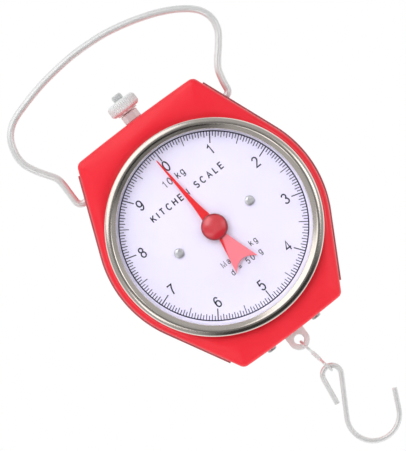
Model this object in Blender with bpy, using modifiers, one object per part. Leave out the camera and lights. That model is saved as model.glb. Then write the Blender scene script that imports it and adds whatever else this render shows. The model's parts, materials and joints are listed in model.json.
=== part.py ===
"""Hanging dial kitchen scale: steel case, wire bail, spring movement, thumb-nut zero set and S-hook.

Frame: +Z up as it hangs, the dial faces -Y, X to the right. The origin is the hang point, on the underside
of the bail wire at its top. The pieces are drawn about the dial's centre, which the dial_centre empty puts
DIAL_DROP below the origin.
"""

import math

import bmesh
import bpy
from mathutils import Vector

MM = 0.001
GAP = 0.3 * MM  # between pieces that touch on the real scale
SHEET = 0.8 * MM  # the housing's steel

# housing outline, about the dial centre
FLANK_R = 59.6 * MM
TOP_Z = 68.0 * MM  # height of the top corners
TOP_HALF = 37.2 * MM
BOTTOM_Z = 67.0 * MM
BOTTOM_HALF = 31.2 * MM
EDGE_BOW = 0.7 * MM  # the top and bottom walls bow outwards by this
CORNER_R = 3.9 * MM
RIM_R = 3.6 * MM  # roll between the front face and the walls
BACK_Y = 18.0 * MM
SIDE_FLANGE_DROP = 5.0 * MM  # from the top corners down to the rear cover's side flanges
SIDE_FLANGE_LIFT = 6.0 * MM  # from the bottom corners up to them
SIDE_FLANGE_Y = -4.5 * MM  # how far forward the rear cover wraps the sides
END_FLANGE_TOP_HALF = 26.0 * MM
END_FLANGE_BOTTOM_HALF = 23.0 * MM
END_FLANGE_DEPTH = 26.0 * MM
SCREW_R = 1.4 * MM
SCREW_HEAD_R = 2.6 * MM
SCREW_HEAD_H = 1.5 * MM
SCREW_LENGTH = 7.0 * MM
COVER_SCREW_X = 14.2 * MM

# window and dial
OPENING_R = 52.5 * MM
BEZEL_COVER = 3.8 * MM  # the bezel hides the face by this much outside the opening
BEZEL_LIP = 1.5 * MM  # its lip stands this far inside its neck
BEZEL_RISE = 5.4 * MM  # bead above the front face
BEZEL_T = 0.7 * MM
BEAD_R = 1.6 * MM
LIP_DEPTH = 2.4 * MM  # from the bead's crest back to the lip
NECK_T = 0.9 * MM
NECK_REACH = 1.0 * MM  # the neck ends this far behind the dial
LENS_T = 1.5 * MM
LENS_EDGE_GAP = 0.4 * MM
SPACER_T = 1.2 * MM
DIAL_T = 0.8 * MM
DIAL_DEPTH = 11.0 * MM  # from the bead's crest back to the dial's face
DIAL_SCREW_X = 22.6 * MM
DIAL_POST_H = 1.5 * MM
DIAL_POST_WALL = 0.7 * MM

# bail
WIRE_R = 1.9 * MM
HINGE_Z = 50.3 * MM
PIN_PLAY = 0.4 * MM
PIN_REACH = 5.3 * MM  # the pins go this far in from the case's side
BAIL_BEND_R = 3.2 * MM
BAIL_CLEAR_LEFT = 3.8 * MM  # from the rear cover's side to the middle of the wire
BAIL_CLEAR_RIGHT = 2.9 * MM
BAIL_TOP_Z = 114.7 * MM
DIAL_DROP = BAIL_TOP_Z - WIRE_R

# rack and pinion
PITCH_R = 3.0 * MM
PINION_TEETH = 12
PRESSURE = math.radians(20)
BACKLASH = 0.06 * MM
RACK_ADDENDUM = 0.34 * MM
RACK_T = 2.0 * MM
RACK_BACK = 4.2 * MM  # from the pitch line to the rack's plain edge
RACK_PIN_BACK = 2.4 * MM  # from the pitch line to the rack's pin
RACK_PIN_DROP = 2.5 * MM  # from the springs' lower holes down to the pin
RACK_FORWARD = 2.05 * MM  # clearance between the zero screw and the rack
RACK_TEETH = (-3, 14)
FACE_SPARE = 0.4 * MM  # the pinion is wider than the rack by this on each side
GUIDE_R = 1.2 * MM
GUIDE_Z = -6.0 * MM
PIN_R = 1.0 * MM
ARBOR_R = 1.25 * MM
ARBOR_PLAY = 0.09 * MM

# springs and their strips
SPRING_R = 3.8 * MM  # mean radius of the coils
SPRING_WIRE_R = 0.6 * MM
SPRING_TURNS = 18
SPRING_HOOK_R = 2.6 * MM
SPRING_CLEAR = 0.5 * MM  # between the coils and the rack's guide post
COIL_LEAD = 2.2 * MM
HOOK_HOLE_R = 1.6 * MM
HANGER_HOLE_Z = 26.5 * MM
STRIP_T = 2.0 * MM
STRIP_EDGE = 1.6 * MM  # metal between a hook hole and the strip's edge
STRIP_END = 5.0 * MM  # metal past the hook holes
STRIP_H = 9.0 * MM

# frame
FRAME_T = 1.5 * MM
FRAME_Y = 7.6 * MM
FRAME_HALF = 19.0 * MM
FRAME_FLANGE = 15.5 * MM
FRAME_BEND_R = 2.5 * MM
PLATE_T = 1.2 * MM
PLATE_HALF_Z = 16.5 * MM
PLATE_EDGE = 3.4 * MM  # outside the pillars
PILLAR_R = 2.0 * MM
PILLAR_CLEAR = 2.4 * MM  # between the coils and the pillars
PILLAR_Z = 12.5 * MM
BUSH_R = 2.8 * MM
BUSH_L = 3.0 * MM
BUSH_FLANGE_R = 3.8 * MM
BUSH_FLANGE_T = 0.8 * MM

# zero set
STUD_R = 2.95 * MM
STUD_SHOWS = 3.4 * MM  # above the nut
FORK_L = 3.8 * MM  # the stud's foot straddles the hanger by this
NUT_R = 8.3 * MM
NUT_H = 6.6 * MM
NUT_CHAMFER = 0.8 * MM
NUT_BOSS_R = 5.6 * MM
NUT_BOSS_H = 0.9 * MM
KNURLS = 36
KNURL_DEPTH = 0.45 * MM
COLLAR_WALL = 0.55 * MM
COLLAR_SHOULDER = 0.95 * MM  # from the neck out to the hexagon's corners
COLLAR_H = 4.8 * MM
COLLAR_NUT_H = 3.6 * MM
COLLAR_NUT_SIZE = 2.2 * MM  # from its hole to its corners

# load eye, link and hook
EYE_DROP = 4.9 * MM  # from the bottom wall to the eye's centre
EYE_R = 5.6 * MM
EYE_HOLE_R = 2.6 * MM
SLOT_PLAY = 1.2 * MM
LINK_WIRE_R = 0.75 * MM
LINK_TOP_R = 3.5 * MM
LINK_LOW_R = 3.4 * MM
HOOK_WIRE_R = 1.4 * MM
HOOK_LOOP_R = 4.85 * MM
HOOK_LOOP_DROP = Vector((2.6 * MM, 0, -24.7 * MM))  # from the eye
HOOK_BOWL_R = 13.6 * MM
HOOK_BOWL_DROP = Vector((4.6 * MM, 0, -29.2 * MM))  # from the hook's loop
HOOK_SHORT_ARM = 14.6 * MM
HOOK_SHORT_LEAN = math.radians(7.7)
HOOK_TIP_ARM = 11.2 * MM
HOOK_TIP_LEAN = math.radians(25)
HOOK_SEAT_TURN = math.radians(33)  # the link bears right of the loop's top, above the hook's centre of mass

# pointer
POINTER_REST = math.radians(-4.2)
POINTER_CLEAR = 0.2 * MM  # over the dial screws
TIP_CLEAR = 4.2 * MM  # from the needle's tip to the lens spacer
BLADE_T = 0.7 * MM
HUB_R = 6.9 * MM
HUB_H = 2.6 * MM

# heights that follow from the sizes above
LAYER = SHEET + GAP
TOP_WALL = TOP_Z + EDGE_BOW
BOTTOM_WALL = -(BOTTOM_Z + EDGE_BOW)
FRAME_TOP = TOP_WALL - 2 * LAYER - GAP
FRAME_BOTTOM = BOTTOM_WALL + 2 * LAYER + GAP
COLLAR_FOOT = TOP_WALL + GAP
COLLAR_NECK_R = STUD_R + GAP + COLLAR_WALL
NUT_FOOT = COLLAR_FOOT + COLLAR_H + GAP
STUD_TOP = NUT_FOOT + NUT_BOSS_H + NUT_H + STUD_SHOWS
BAR_HOLE_Z = -HANGER_HOLE_Z
HANGER_TOP = HANGER_HOLE_Z - HOOK_HOLE_R - STRIP_EDGE + STRIP_H
EYE_Z = BOTTOM_WALL - EYE_DROP

# widths
GUIDE_X = PITCH_R + RACK_BACK + GAP + GUIDE_R
SPRING_X = GUIDE_X + GUIDE_R + SPRING_CLEAR + SPRING_R + SPRING_WIRE_R
STRIP_HALF = SPRING_X + STRIP_END
PILLAR_X = SPRING_X + SPRING_R + SPRING_WIRE_R + PILLAR_CLEAR + PILLAR_R
PLATE_HALF_X = PILLAR_X + PLATE_EDGE
RACK_PIN_X = PITCH_R + RACK_PIN_BACK
RACK_PIN_Z = BAR_HOLE_Z - RACK_PIN_DROP
NECK_OUT = OPENING_R - GAP
NECK_IN = NECK_OUT - NECK_T
SPACER_OUT = NECK_IN - GAP
TIP_R = SPACER_OUT - SPACER_T - TIP_CLEAR

# depths, from the springs' plane at y = 0 out to the front
RACK_Y = -(STUD_R + RACK_FORWARD + RACK_T / 2)
PINION_FRONT = RACK_Y - RACK_T / 2 - FACE_SPARE
PLATE_Y = PINION_FRONT - GAP - BUSH_FLANGE_T - GAP - PLATE_T / 2
DIAL_Y = PLATE_Y - PLATE_T / 2 - 2 * GAP - DIAL_POST_H - DIAL_T / 2
DIAL_FACE = DIAL_Y - DIAL_T / 2
CREST_Y = DIAL_FACE - DIAL_DEPTH
FRONT_Y = CREST_Y + BEZEL_RISE
POINTER_Y = DIAL_FACE - GAP - SCREW_HEAD_H - POINTER_CLEAR - BLADE_T / 2

# the link and hook hang in line from the eye
LINK_SEAT = Vector((0, 0, EYE_Z - EYE_HOLE_R + LINK_WIRE_R + GAP))
HOOK_LOOP = Vector((0, 0, EYE_Z)) + HOOK_LOOP_DROP
HOOK_BOWL = HOOK_LOOP + HOOK_BOWL_DROP
SEAT_REACH = HOOK_LOOP_R - HOOK_WIRE_R - GAP - LINK_WIRE_R
HOOK_SEAT = HOOK_LOOP + SEAT_REACH * Vector((math.sin(HOOK_SEAT_TURN), 0, math.cos(HOOK_SEAT_TURN)))
LINK_DOWN = (HOOK_SEAT - LINK_SEAT).normalized()  # the link leans a little to the right
LINK_TOP_CENTRE = LINK_SEAT + LINK_DOWN * LINK_TOP_R
LINK_LOW_CENTRE = HOOK_SEAT - LINK_DOWN * LINK_LOW_R


# ---------------------------------------------------------------- scene helpers

def clear_scene():
    for obj in list(bpy.data.objects):
        bpy.data.objects.remove(obj)


def new_collection(name):
    found = bpy.data.collections.new(name)
    bpy.context.scene.collection.children.link(found)
    return found


def material(name, colour, roughness, metallic=0.0):
    made = bpy.data.materials.new(name)
    made.use_nodes = True
    shader = made.node_tree.nodes["Principled BSDF"]
    shader.inputs["Base Color"].default_value = (*colour, 1)
    shader.inputs["Roughness"].default_value = roughness
    shader.inputs["Metallic"].default_value = metallic
    return made


def pivot(name, point, parent=None):
    """An empty on a joint's axis. Its point is about the dial centre."""
    made = bpy.data.objects.new(name, None)
    made.empty_display_size = 5 * MM
    parts.objects.link(made)
    made.parent = parent
    made.location = Vector(point) - (Vector(parent["about"]) if parent else Vector())
    made["about"] = tuple(Vector(point) if parent else Vector())
    return made


def place(obj, name, finish, parent):
    """Names obj, drawn about the dial centre, gives it its material and hangs it on its body's empty."""
    obj.name = name
    obj.data.name = name
    obj.data.materials.clear()
    obj.data.materials.append(finish)
    for held in list(obj.users_collection):
        held.objects.unlink(obj)
    parts.objects.link(obj)
    obj.parent = parent
    obj.location = obj.location - Vector(parent["about"])
    return obj


def cutter(obj):
    """Moves a helper solid to the cutters' collection, out of the render."""
    for held in list(obj.users_collection):
        held.objects.unlink(obj)
    cutters.objects.link(obj)
    obj.hide_render = True
    obj.display_type = "WIRE"
    obj.parent = centre
    return obj


def boolean(obj, other, operation="DIFFERENCE"):
    made = obj.modifiers.new(other.name, "BOOLEAN")
    made.object = other
    made.operation = operation
    made.solver = "EXACT"


def cylinder(radius, start, end, sides=24):
    """A rod from start to end."""
    start, end = Vector(start), Vector(end)
    along = end - start
    turn = along.to_track_quat("Z", "Y").to_euler()
    bpy.ops.mesh.primitive_cylinder_add(
        vertices=sides, radius=radius, depth=along.length, location=(start + end) / 2, rotation=turn
    )
    obj = bpy.context.object
    obj.data.shade_smooth()
    obj.data.set_sharp_from_angle(angle=math.radians(40))
    return obj


def box(low, high):
    low, high = Vector(low), Vector(high)
    bpy.ops.mesh.primitive_cube_add(size=1, location=(low + high) / 2)
    obj = bpy.context.object
    obj.scale = high - low
    bpy.ops.object.transform_apply(location=False, rotation=False, scale=True)
    return obj


def circle(x, z, radius, sides=20):
    return [
        (x + radius * math.cos(turn), z + radius * math.sin(turn))
        for turn in (math.tau * k / sides for k in range(sides))
    ]


def plate(loops, thickness, y):
    """A flat piece in the XZ plane: the first loop is its outline and the others are holes."""
    curve = bpy.data.curves.new("plate", "CURVE")
    curve.dimensions = "2D"
    curve.fill_mode = "BOTH"
    curve.extrude = thickness / 2
    for loop in loops:
        spline = curve.splines.new("POLY")
        spline.points.add(len(loop) - 1)
        for point, (x, z) in zip(spline.points, loop):
            point.co = (x, z, 0, 1)
        spline.use_cyclic_u = True
    obj = bpy.data.objects.new("plate", curve)
    parts.objects.link(obj)
    obj.rotation_euler = (math.pi / 2, 0, 0)
    obj.location = (0, y, 0)
    return obj


def wire(points, radius, sides=8):
    """A round wire with closed ends along the points."""
    curve = bpy.data.curves.new("wire", "CURVE")
    curve.dimensions = "3D"
    curve.bevel_depth = radius
    curve.bevel_resolution = sides // 2 - 2
    curve.use_fill_caps = True
    spline = curve.splines.new("POLY")
    spline.points.add(len(points) - 1)
    for point, at in zip(spline.points, points):
        point.co = (*at, 1)
    obj = bpy.data.objects.new("wire", curve)
    parts.objects.link(obj)
    return obj


def turned(profile, axis, steps=32, closed=False):
    """A solid of revolution. The profile holds (radius, height) pairs, and closed makes it a ring."""
    mesh = bpy.data.meshes.new("turned")
    if axis == "Y":
        points = [(r, h, 0) for r, h in profile]
    else:
        points = [(r, 0, h) for r, h in profile]
    edges = [(k, k + 1) for k in range(len(points) - 1)]
    if closed:
        edges.append((len(points) - 1, 0))
    mesh.from_pydata(points, edges, [])
    obj = bpy.data.objects.new("turned", mesh)
    parts.objects.link(obj)
    screw = obj.modifiers.new("Turn", "SCREW")
    screw.axis = axis
    screw.steps = screw.render_steps = steps
    screw.use_merge_vertices = True
    screw.merge_threshold = 0.00001
    screw.use_smooth_shade = True
    return obj


def to_mesh(obj):
    """The curve obj as a welded mesh, so that it can be cut."""
    graph = bpy.context.evaluated_depsgraph_get()
    mesh = bpy.data.meshes.new_from_object(obj.evaluated_get(graph))
    bm = bmesh.new()
    bm.from_mesh(mesh)
    bmesh.ops.remove_doubles(bm, verts=bm.verts, dist=0.00001)
    bm.to_mesh(mesh)
    bm.free()
    made = bpy.data.objects.new(obj.name, mesh)
    parts.objects.link(made)
    made.matrix_world = obj.matrix_world
    bpy.data.objects.remove(obj)
    return made


def smooth_path(keys, per_span):
    """Points on a Catmull-Rom curve through the keys, with per_span points to each span."""
    keys = [Vector(k) for k in keys]
    ends = [2 * keys[0] - keys[1]] + keys + [2 * keys[-1] - keys[-2]]
    path = []
    for a, b, c, d in zip(ends, ends[1:], ends[2:], ends[3:]):
        for k in range(per_span):
            t = k / per_span
            path.append(
                0.5 * (2 * b + (c - a) * t + (2 * a - 5 * b + 4 * c - d) * t * t
                       + (3 * b - a - 3 * c + d) * t * t * t)
            )
    return path + [keys[-1]]


# ---------------------------------------------------------------- housing

def side_angle(half, z):
    """Tilt of a straight side's normal. The side runs from the corner (half, z) to touch the flank circle."""
    return math.copysign(abs(math.atan2(z, half)) - math.acos(FLANK_R / math.hypot(half, z)), z)


TOP_SIDE = side_angle(TOP_HALF, TOP_Z)
BOTTOM_SIDE = side_angle(BOTTOM_HALF, -BOTTOM_Z)


def side_x(z, grow):
    """Where the side stands at height z, with the outline grown by grow."""
    flank = FLANK_R + grow
    if z > flank * math.sin(TOP_SIDE):
        return (flank - z * math.sin(TOP_SIDE)) / math.cos(TOP_SIDE)
    if z < flank * math.sin(BOTTOM_SIDE):
        return (flank - z * math.sin(BOTTOM_SIDE)) / math.cos(BOTTOM_SIDE)
    return math.sqrt(flank * flank - z * z)


def end_z(x, top, grow=0.0):
    """Height of the bowed top or bottom wall's outer face at x."""
    half, height = (TOP_HALF, TOP_Z) if top else (BOTTOM_HALF, BOTTOM_Z)
    z = height + EDGE_BOW * (1 - (x / half) ** 2) + grow
    return z if top else -z


def flank(grow, steps=14):
    """The round flank between the two straight sides, top to bottom."""
    radius = FLANK_R + grow
    turns = [TOP_SIDE + (BOTTOM_SIDE - TOP_SIDE) * k / steps for k in range(steps + 1)]
    return [(radius * math.cos(turn), radius * math.sin(turn)) for turn in turns]


def corner(top, steps=5):
    """The rounded corner between an end wall and a side, from the end wall to the side."""
    z = end_z(side_x(TOP_Z if top else -BOTTOM_Z, 0), top)
    tip = Vector((side_x(z, 0), z))
    side = Vector((side_x(z * 0.9, 0), z * 0.9)) - tip
    side.normalize()
    end = Vector((-1, 0))
    half = end.angle(side) / 2
    middle = tip + (end + side).normalized() * CORNER_R / math.sin(half)
    start = tip + end * CORNER_R / math.tan(half) - middle
    finish = tip + side * CORNER_R / math.tan(half) - middle
    sweep = start.angle(finish)
    points = []
    for k in range(steps + 1):
        share = k / steps
        spoke = (start * math.sin((1 - share) * sweep) + finish * math.sin(share * sweep)) / math.sin(sweep)
        points.append(tuple(middle + spoke))
    return points


def mirrored(right):
    """A closed loop from its right half, which runs from the top centre to the bottom centre."""
    left = [(-x, *rest) for x, *rest in reversed(right[1:-1])]
    return [tuple(p) for p in right] + left


def front_outline():
    right = [(0, end_z(0, True)), (12 * MM, end_z(12 * MM, True)), (23 * MM, end_z(23 * MM, True))]
    right += corner(True) + flank(0) + corner(False)[::-1]
    right += [(20 * MM, end_z(20 * MM, False)), (10 * MM, end_z(10 * MM, False)), (0, end_z(0, False))]
    return mirrored(right)


def open_shell(points, depth, wrapped, y):
    """A sheet with the closed outline at y, whose edges between two wrapped points turn by depth along Y."""
    bm = bmesh.new()
    verts = [bm.verts.new((x, y, z)) for x, z, *_ in points]
    bm.faces.new(verts)
    turned_in = []
    for k, vert in enumerate(verts):
        after = (k + 1) % len(verts)
        if wrapped[k] and wrapped[k] == wrapped[after]:
            turned_in.append(bm.edges.get((vert, verts[after])))
    for kind, reach in depth.items():
        edges = [e for e in turned_in if wrapped[verts.index(e.verts[0])] == kind]
        grown = bmesh.ops.extrude_edge_only(bm, edges=edges)["geom"]
        bmesh.ops.translate(
            bm, verts=[v for v in grown if isinstance(v, bmesh.types.BMVert)], vec=(0, reach, 0)
        )
    bmesh.ops.recalc_face_normals(bm, faces=bm.faces)
    mesh = bpy.data.meshes.new("shell")
    bm.to_mesh(mesh)
    bm.free()
    obj = bpy.data.objects.new("shell", mesh)
    parts.objects.link(obj)
    return obj


def solidify(obj, thickness, offset):
    made = obj.modifiers.new("Sheet", "SOLIDIFY")
    made.thickness = thickness
    made.offset = offset
    made.use_even_offset = True


def round_bends(obj, radius, segments):
    made = obj.modifiers.new("Bends", "BEVEL")
    made.width = radius
    made.segments = segments
    made.limit_method = "ANGLE"
    made.angle_limit = math.radians(50)


def housing_cutters():
    """Holes that run through the front shell, the rear cover and the frame alike."""
    reach = 80 * MM
    found = {
        "bail_bores": cylinder(WIRE_R + PIN_PLAY, (-reach, 0, HINGE_Z), (reach, 0, HINGE_Z)),
        "collar_bore": cylinder(COLLAR_NECK_R + GAP, (0, 0, FRAME_TOP - 5 * MM), (0, 0, TOP_WALL + 5 * MM)),
        "eye_slot": box(
            (-EYE_R - SLOT_PLAY, -STRIP_T / 2 - SLOT_PLAY, BOTTOM_WALL - 5 * MM),
            (EYE_R + SLOT_PLAY, STRIP_T / 2 + SLOT_PLAY, FRAME_BOTTOM + 5 * MM),
        ),
    }
    for side, x in (("left", -COVER_SCREW_X), ("right", COVER_SCREW_X)):
        found[f"cover_bore_{side}"] = cylinder(
            SCREW_R + GAP, (x, 0, BOTTOM_WALL - 5 * MM), (x, 0, FRAME_BOTTOM + 5 * MM), 16
        )
    for name, obj in found.items():
        obj.name = name
        cutter(obj)
    return found


def make_front_shell(cuts):
    outline = front_outline()
    obj = open_shell(outline, {"wall": BACK_Y - LAYER - FRONT_Y}, ["wall"] * len(outline), FRONT_Y)
    round_bends(obj, RIM_R, 5)
    solidify(obj, SHEET, -1)
    opening = cutter(cylinder(OPENING_R, (0, FRONT_Y - 5 * MM, 0), (0, FRONT_Y + 5 * MM, 0), 96))
    opening.name = "dial_opening"
    for other in [opening, *cuts.values()]:
        boolean(obj, other)
    return place(obj, "front_shell", red, housing)


def make_rear_cover(cuts):
    """The back plate, with flanges that wrap the front shell's sides and tuck inside its top and bottom."""
    right, kinds = [], []

    def add(points, kind=None):
        right.extend(points)
        kinds.extend([kind] * len(points))

    half, top = END_FLANGE_TOP_HALF, TOP_Z - SIDE_FLANGE_DROP
    add([(0, end_z(0, True, -LAYER)), (half, end_z(half, True, -LAYER))], "end")
    add([(half, end_z(half, True))] + corner(True) + [(side_x(top, 0), top)])
    bottom = SIDE_FLANGE_LIFT - BOTTOM_Z
    side = [p for p in flank(LAYER) if bottom < p[1] < top]
    add([(side_x(top, LAYER), top), *side, (side_x(bottom, LAYER), bottom)], "side")
    add([(side_x(bottom, 0), bottom)] + corner(False)[::-1])
    half = END_FLANGE_BOTTOM_HALF
    add([(half, end_z(half, False))])
    add([(half, end_z(half, False, -LAYER)), (0, end_z(0, False, -LAYER))], "end")
    points = mirrored(right)
    kinds += kinds[1:-1][::-1]
    forward = {"side": SIDE_FLANGE_Y - BACK_Y, "end": -END_FLANGE_DEPTH}
    obj = open_shell(points, forward, kinds, BACK_Y)
    solidify(obj, SHEET, -1)
    for other in cuts.values():
        boolean(obj, other)
    return place(obj, "rear_cover", red, housing)


def make_bezel():
    """Chromed ring: a bead on the front face, a slope down to the lip and a neck in the opening."""
    foot, shoulder, lip = FRONT_Y - GAP, CREST_Y + BEAD_R, CREST_Y + LIP_DEPTH
    outer, inner = OPENING_R + BEZEL_COVER, NECK_IN - BEZEL_LIP
    middle = outer - BEAD_R
    end = DIAL_Y + DIAL_T / 2 + NECK_REACH

    def bead(radius, turns):
        turns = [math.radians(a) for a in turns]
        return [(middle + radius * math.cos(turn), shoulder - radius * math.sin(turn)) for turn in turns]

    profile = [(outer, foot), *bead(BEAD_R, (0, 30, 60, 90, 120)), (inner, lip), (inner, lip + BEZEL_T)]
    profile += [(NECK_IN, lip + BEZEL_T), (NECK_IN, end), (NECK_OUT, end), (NECK_OUT, CREST_Y + 1.9 * MM)]
    profile += [*bead(BEAD_R - BEZEL_T, (120, 60, 0)), (outer - BEZEL_T, foot)]
    return place(turned(profile, "Y", 72, closed=True), "bezel", chrome, housing)


def make_window():
    """Lens, white spacer ring and dial, stacked in the bezel's neck."""
    lens_front = CREST_Y + LIP_DEPTH + BEZEL_T + GAP
    lens_back = lens_front + LENS_T
    lens = cylinder(NECK_IN - LENS_EDGE_GAP, (0, lens_front, 0), (0, lens_back, 0), 72)
    place(lens, "lens", clear, housing)
    inner, back = SPACER_OUT - SPACER_T, DIAL_FACE - GAP
    ring = [(inner, lens_back + GAP), (inner, back), (SPACER_OUT, back), (SPACER_OUT, lens_back + GAP)]
    place(turned(ring, "Y", 72, closed=True), "lens_spacer", spacer_white, housing)
    loops = [circle(0, 0, SPACER_OUT, 72), circle(0, 0, 2 * ARBOR_R)]
    loops += [circle(x, 0, SCREW_R + GAP, 16) for x in (-DIAL_SCREW_X, DIAL_SCREW_X)]
    place(plate(loops, DIAL_T, DIAL_Y), "dial_plate", white, housing)


def screw_profile(length):
    """Pan head screw: (radius, height) with the head's seat at 0 and the shank going up."""
    head = SCREW_HEAD_R
    return [
        (0, length), (SCREW_R, length), (SCREW_R, 0), (head, 0), (head, -0.6 * SCREW_HEAD_H),
        (0.75 * head, -0.9 * SCREW_HEAD_H), (0, -SCREW_HEAD_H),
    ]


def make_cover_screws():
    for side, x in (("left", -COVER_SCREW_X), ("right", COVER_SCREW_X)):
        obj = turned(screw_profile(SCREW_LENGTH), "Z", 16)
        obj.location = (x, 0, end_z(x, False) - GAP)
        place(obj, f"cover_screw_{side}", steel, housing)


def make_frame(cuts):
    """Steel channel that carries the load and the movement: a back plate with a flange at each end."""
    reach = FRAME_FLANGE
    bm = bmesh.new()
    top, bottom = FRAME_TOP - FRAME_T / 2, FRAME_BOTTOM + FRAME_T / 2
    levels = [(FRAME_Y - reach, top), (FRAME_Y, top), (FRAME_Y, bottom), (FRAME_Y - reach, bottom)]
    rows = [[bm.verts.new((x, y, z)) for x in (-FRAME_HALF, FRAME_HALF)] for y, z in levels]
    for (a, b), (c, d) in zip(rows, rows[1:]):
        bm.faces.new((a, b, d, c))
    bmesh.ops.recalc_face_normals(bm, faces=bm.faces)
    mesh = bpy.data.meshes.new("frame")
    bm.to_mesh(mesh)
    bm.free()
    obj = bpy.data.objects.new("frame", mesh)
    parts.objects.link(obj)
    round_bends(obj, FRAME_BEND_R, 3)
    solidify(obj, FRAME_T, 0)
    low, high = FRAME_Y - FRAME_T / 2, FRAME_Y + FRAME_T / 2
    wings = cutter(box((-PLATE_HALF_X, low, -PLATE_HALF_Z), (PLATE_HALF_X, high, PLATE_HALF_Z)))
    wings.name = "frame_wings"
    boolean(obj, wings, "UNION")
    bush = cutter(cylinder(BUSH_R + GAP, (0, 0, 0), (0, 20 * MM, 0)))
    bush.name = "rear_bush_bore"
    boolean(obj, bush)
    for name, other in cuts.items():
        if name != "bail_bores":
            boolean(obj, other)
    return place(obj, "frame", zinc, housing)


def make_movement_plate():
    corners = [(-PLATE_HALF_X, -PLATE_HALF_Z), (PLATE_HALF_X, -PLATE_HALF_Z),
               (PLATE_HALF_X, PLATE_HALF_Z), (-PLATE_HALF_X, PLATE_HALF_Z)]
    loops = [corners, circle(0, 0, BUSH_R + GAP)]
    loops += [circle(x, 0, SCREW_R + GAP, 16) for x in (-DIAL_SCREW_X, DIAL_SCREW_X)]
    place(plate(loops, PLATE_T, PLATE_Y), "movement_plate", zinc, housing)
    start, end = PLATE_Y + PLATE_T / 2 + GAP, FRAME_Y - FRAME_T / 2 - GAP
    spots = {"upper_left": (-1, 1), "upper_right": (1, 1), "lower_left": (-1, -1), "lower_right": (1, -1)}
    for spot, (sx, sz) in spots.items():
        x, z = sx * PILLAR_X, sz * PILLAR_Z
        place(cylinder(PILLAR_R, (x, start, z), (x, end, z), 12), f"pillar_{spot}", brass, housing)
    end = RACK_Y + RACK_T / 2 + 1 * MM
    guide = cylinder(GUIDE_R, (GUIDE_X, start, GUIDE_Z), (GUIDE_X, end, GUIDE_Z), 12)
    place(guide, "rack_guide_post", brass, housing)


def make_bushes():
    """Brass bearings for the arbor, in the movement plate and in the frame."""
    bore = ARBOR_R + ARBOR_PLAY
    plate_inner, frame_inner = PLATE_Y + PLATE_T / 2, FRAME_Y - FRAME_T / 2
    for name, inner, outward in (("front_bush", plate_inner, -1), ("rear_bush", frame_inner, 1)):
        seat = inner - outward * GAP
        far = seat + outward * BUSH_L
        lip = seat - outward * BUSH_FLANGE_T
        ring = [(bore, lip), (bore, far), (BUSH_R, far), (BUSH_R, seat)]
        ring += [(BUSH_FLANGE_R, seat), (BUSH_FLANGE_R, lip)]
        place(turned(ring[::outward], "Y", 32, closed=True), name, brass, housing)


def make_dial_fixings():
    front = DIAL_Y + DIAL_T / 2 + GAP
    back = PLATE_Y - PLATE_T / 2 - GAP
    for side, x in (("left", -DIAL_SCREW_X), ("right", DIAL_SCREW_X)):
        inner, outer = SCREW_R + GAP, SCREW_R + GAP + DIAL_POST_WALL
        post = [(inner, front), (inner, back), (outer, back), (outer, front)]
        post = turned(post, "Y", 16, closed=True)
        post.location.x = x
        place(post, f"dial_post_{side}", brass, housing)
        obj = turned(screw_profile(SCREW_LENGTH), "Y", 16)
        obj.location = (x, DIAL_FACE - GAP, 0)
        place(obj, f"dial_screw_{side}", steel, housing)


# ---------------------------------------------------------------- zero set

def make_collar():
    """Hexagonal collar on the top wall, whose neck goes through the sheets to its nut under the frame."""
    under = FRAME_TOP - FRAME_T - GAP
    neck_foot = under - COLLAR_NUT_H - 1 * MM
    corner_r = COLLAR_NECK_R + COLLAR_SHOULDER
    head = cylinder(corner_r, (0, 0, COLLAR_FOOT), (0, 0, COLLAR_FOOT + COLLAR_H), 6)
    head.rotation_euler.z = math.radians(30)
    neck = cutter(cylinder(COLLAR_NECK_R, (0, 0, neck_foot), (0, 0, COLLAR_FOOT + 1 * MM)))
    neck.name = "collar_neck"
    boolean(head, neck, "UNION")
    bore = cutter(cylinder(STUD_R + GAP, (0, 0, neck_foot - 5 * MM), (0, 0, STUD_TOP)))
    bore.name = "collar_stud_bore"
    boolean(head, bore)
    place(head, "zero_collar", chrome, housing)
    hole_r = COLLAR_NECK_R + GAP
    nut = cylinder(hole_r + COLLAR_NUT_SIZE, (0, 0, under - COLLAR_NUT_H), (0, 0, under), 6)
    nut.rotation_euler.z = math.radians(30)
    hole = cutter(cylinder(hole_r, (0, 0, under - COLLAR_NUT_H - 5 * MM), (0, 0, under + 5 * MM)))
    hole.name = "collar_nut_bore"
    boolean(nut, hole)
    place(nut, "collar_nut", zinc, housing)


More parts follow.
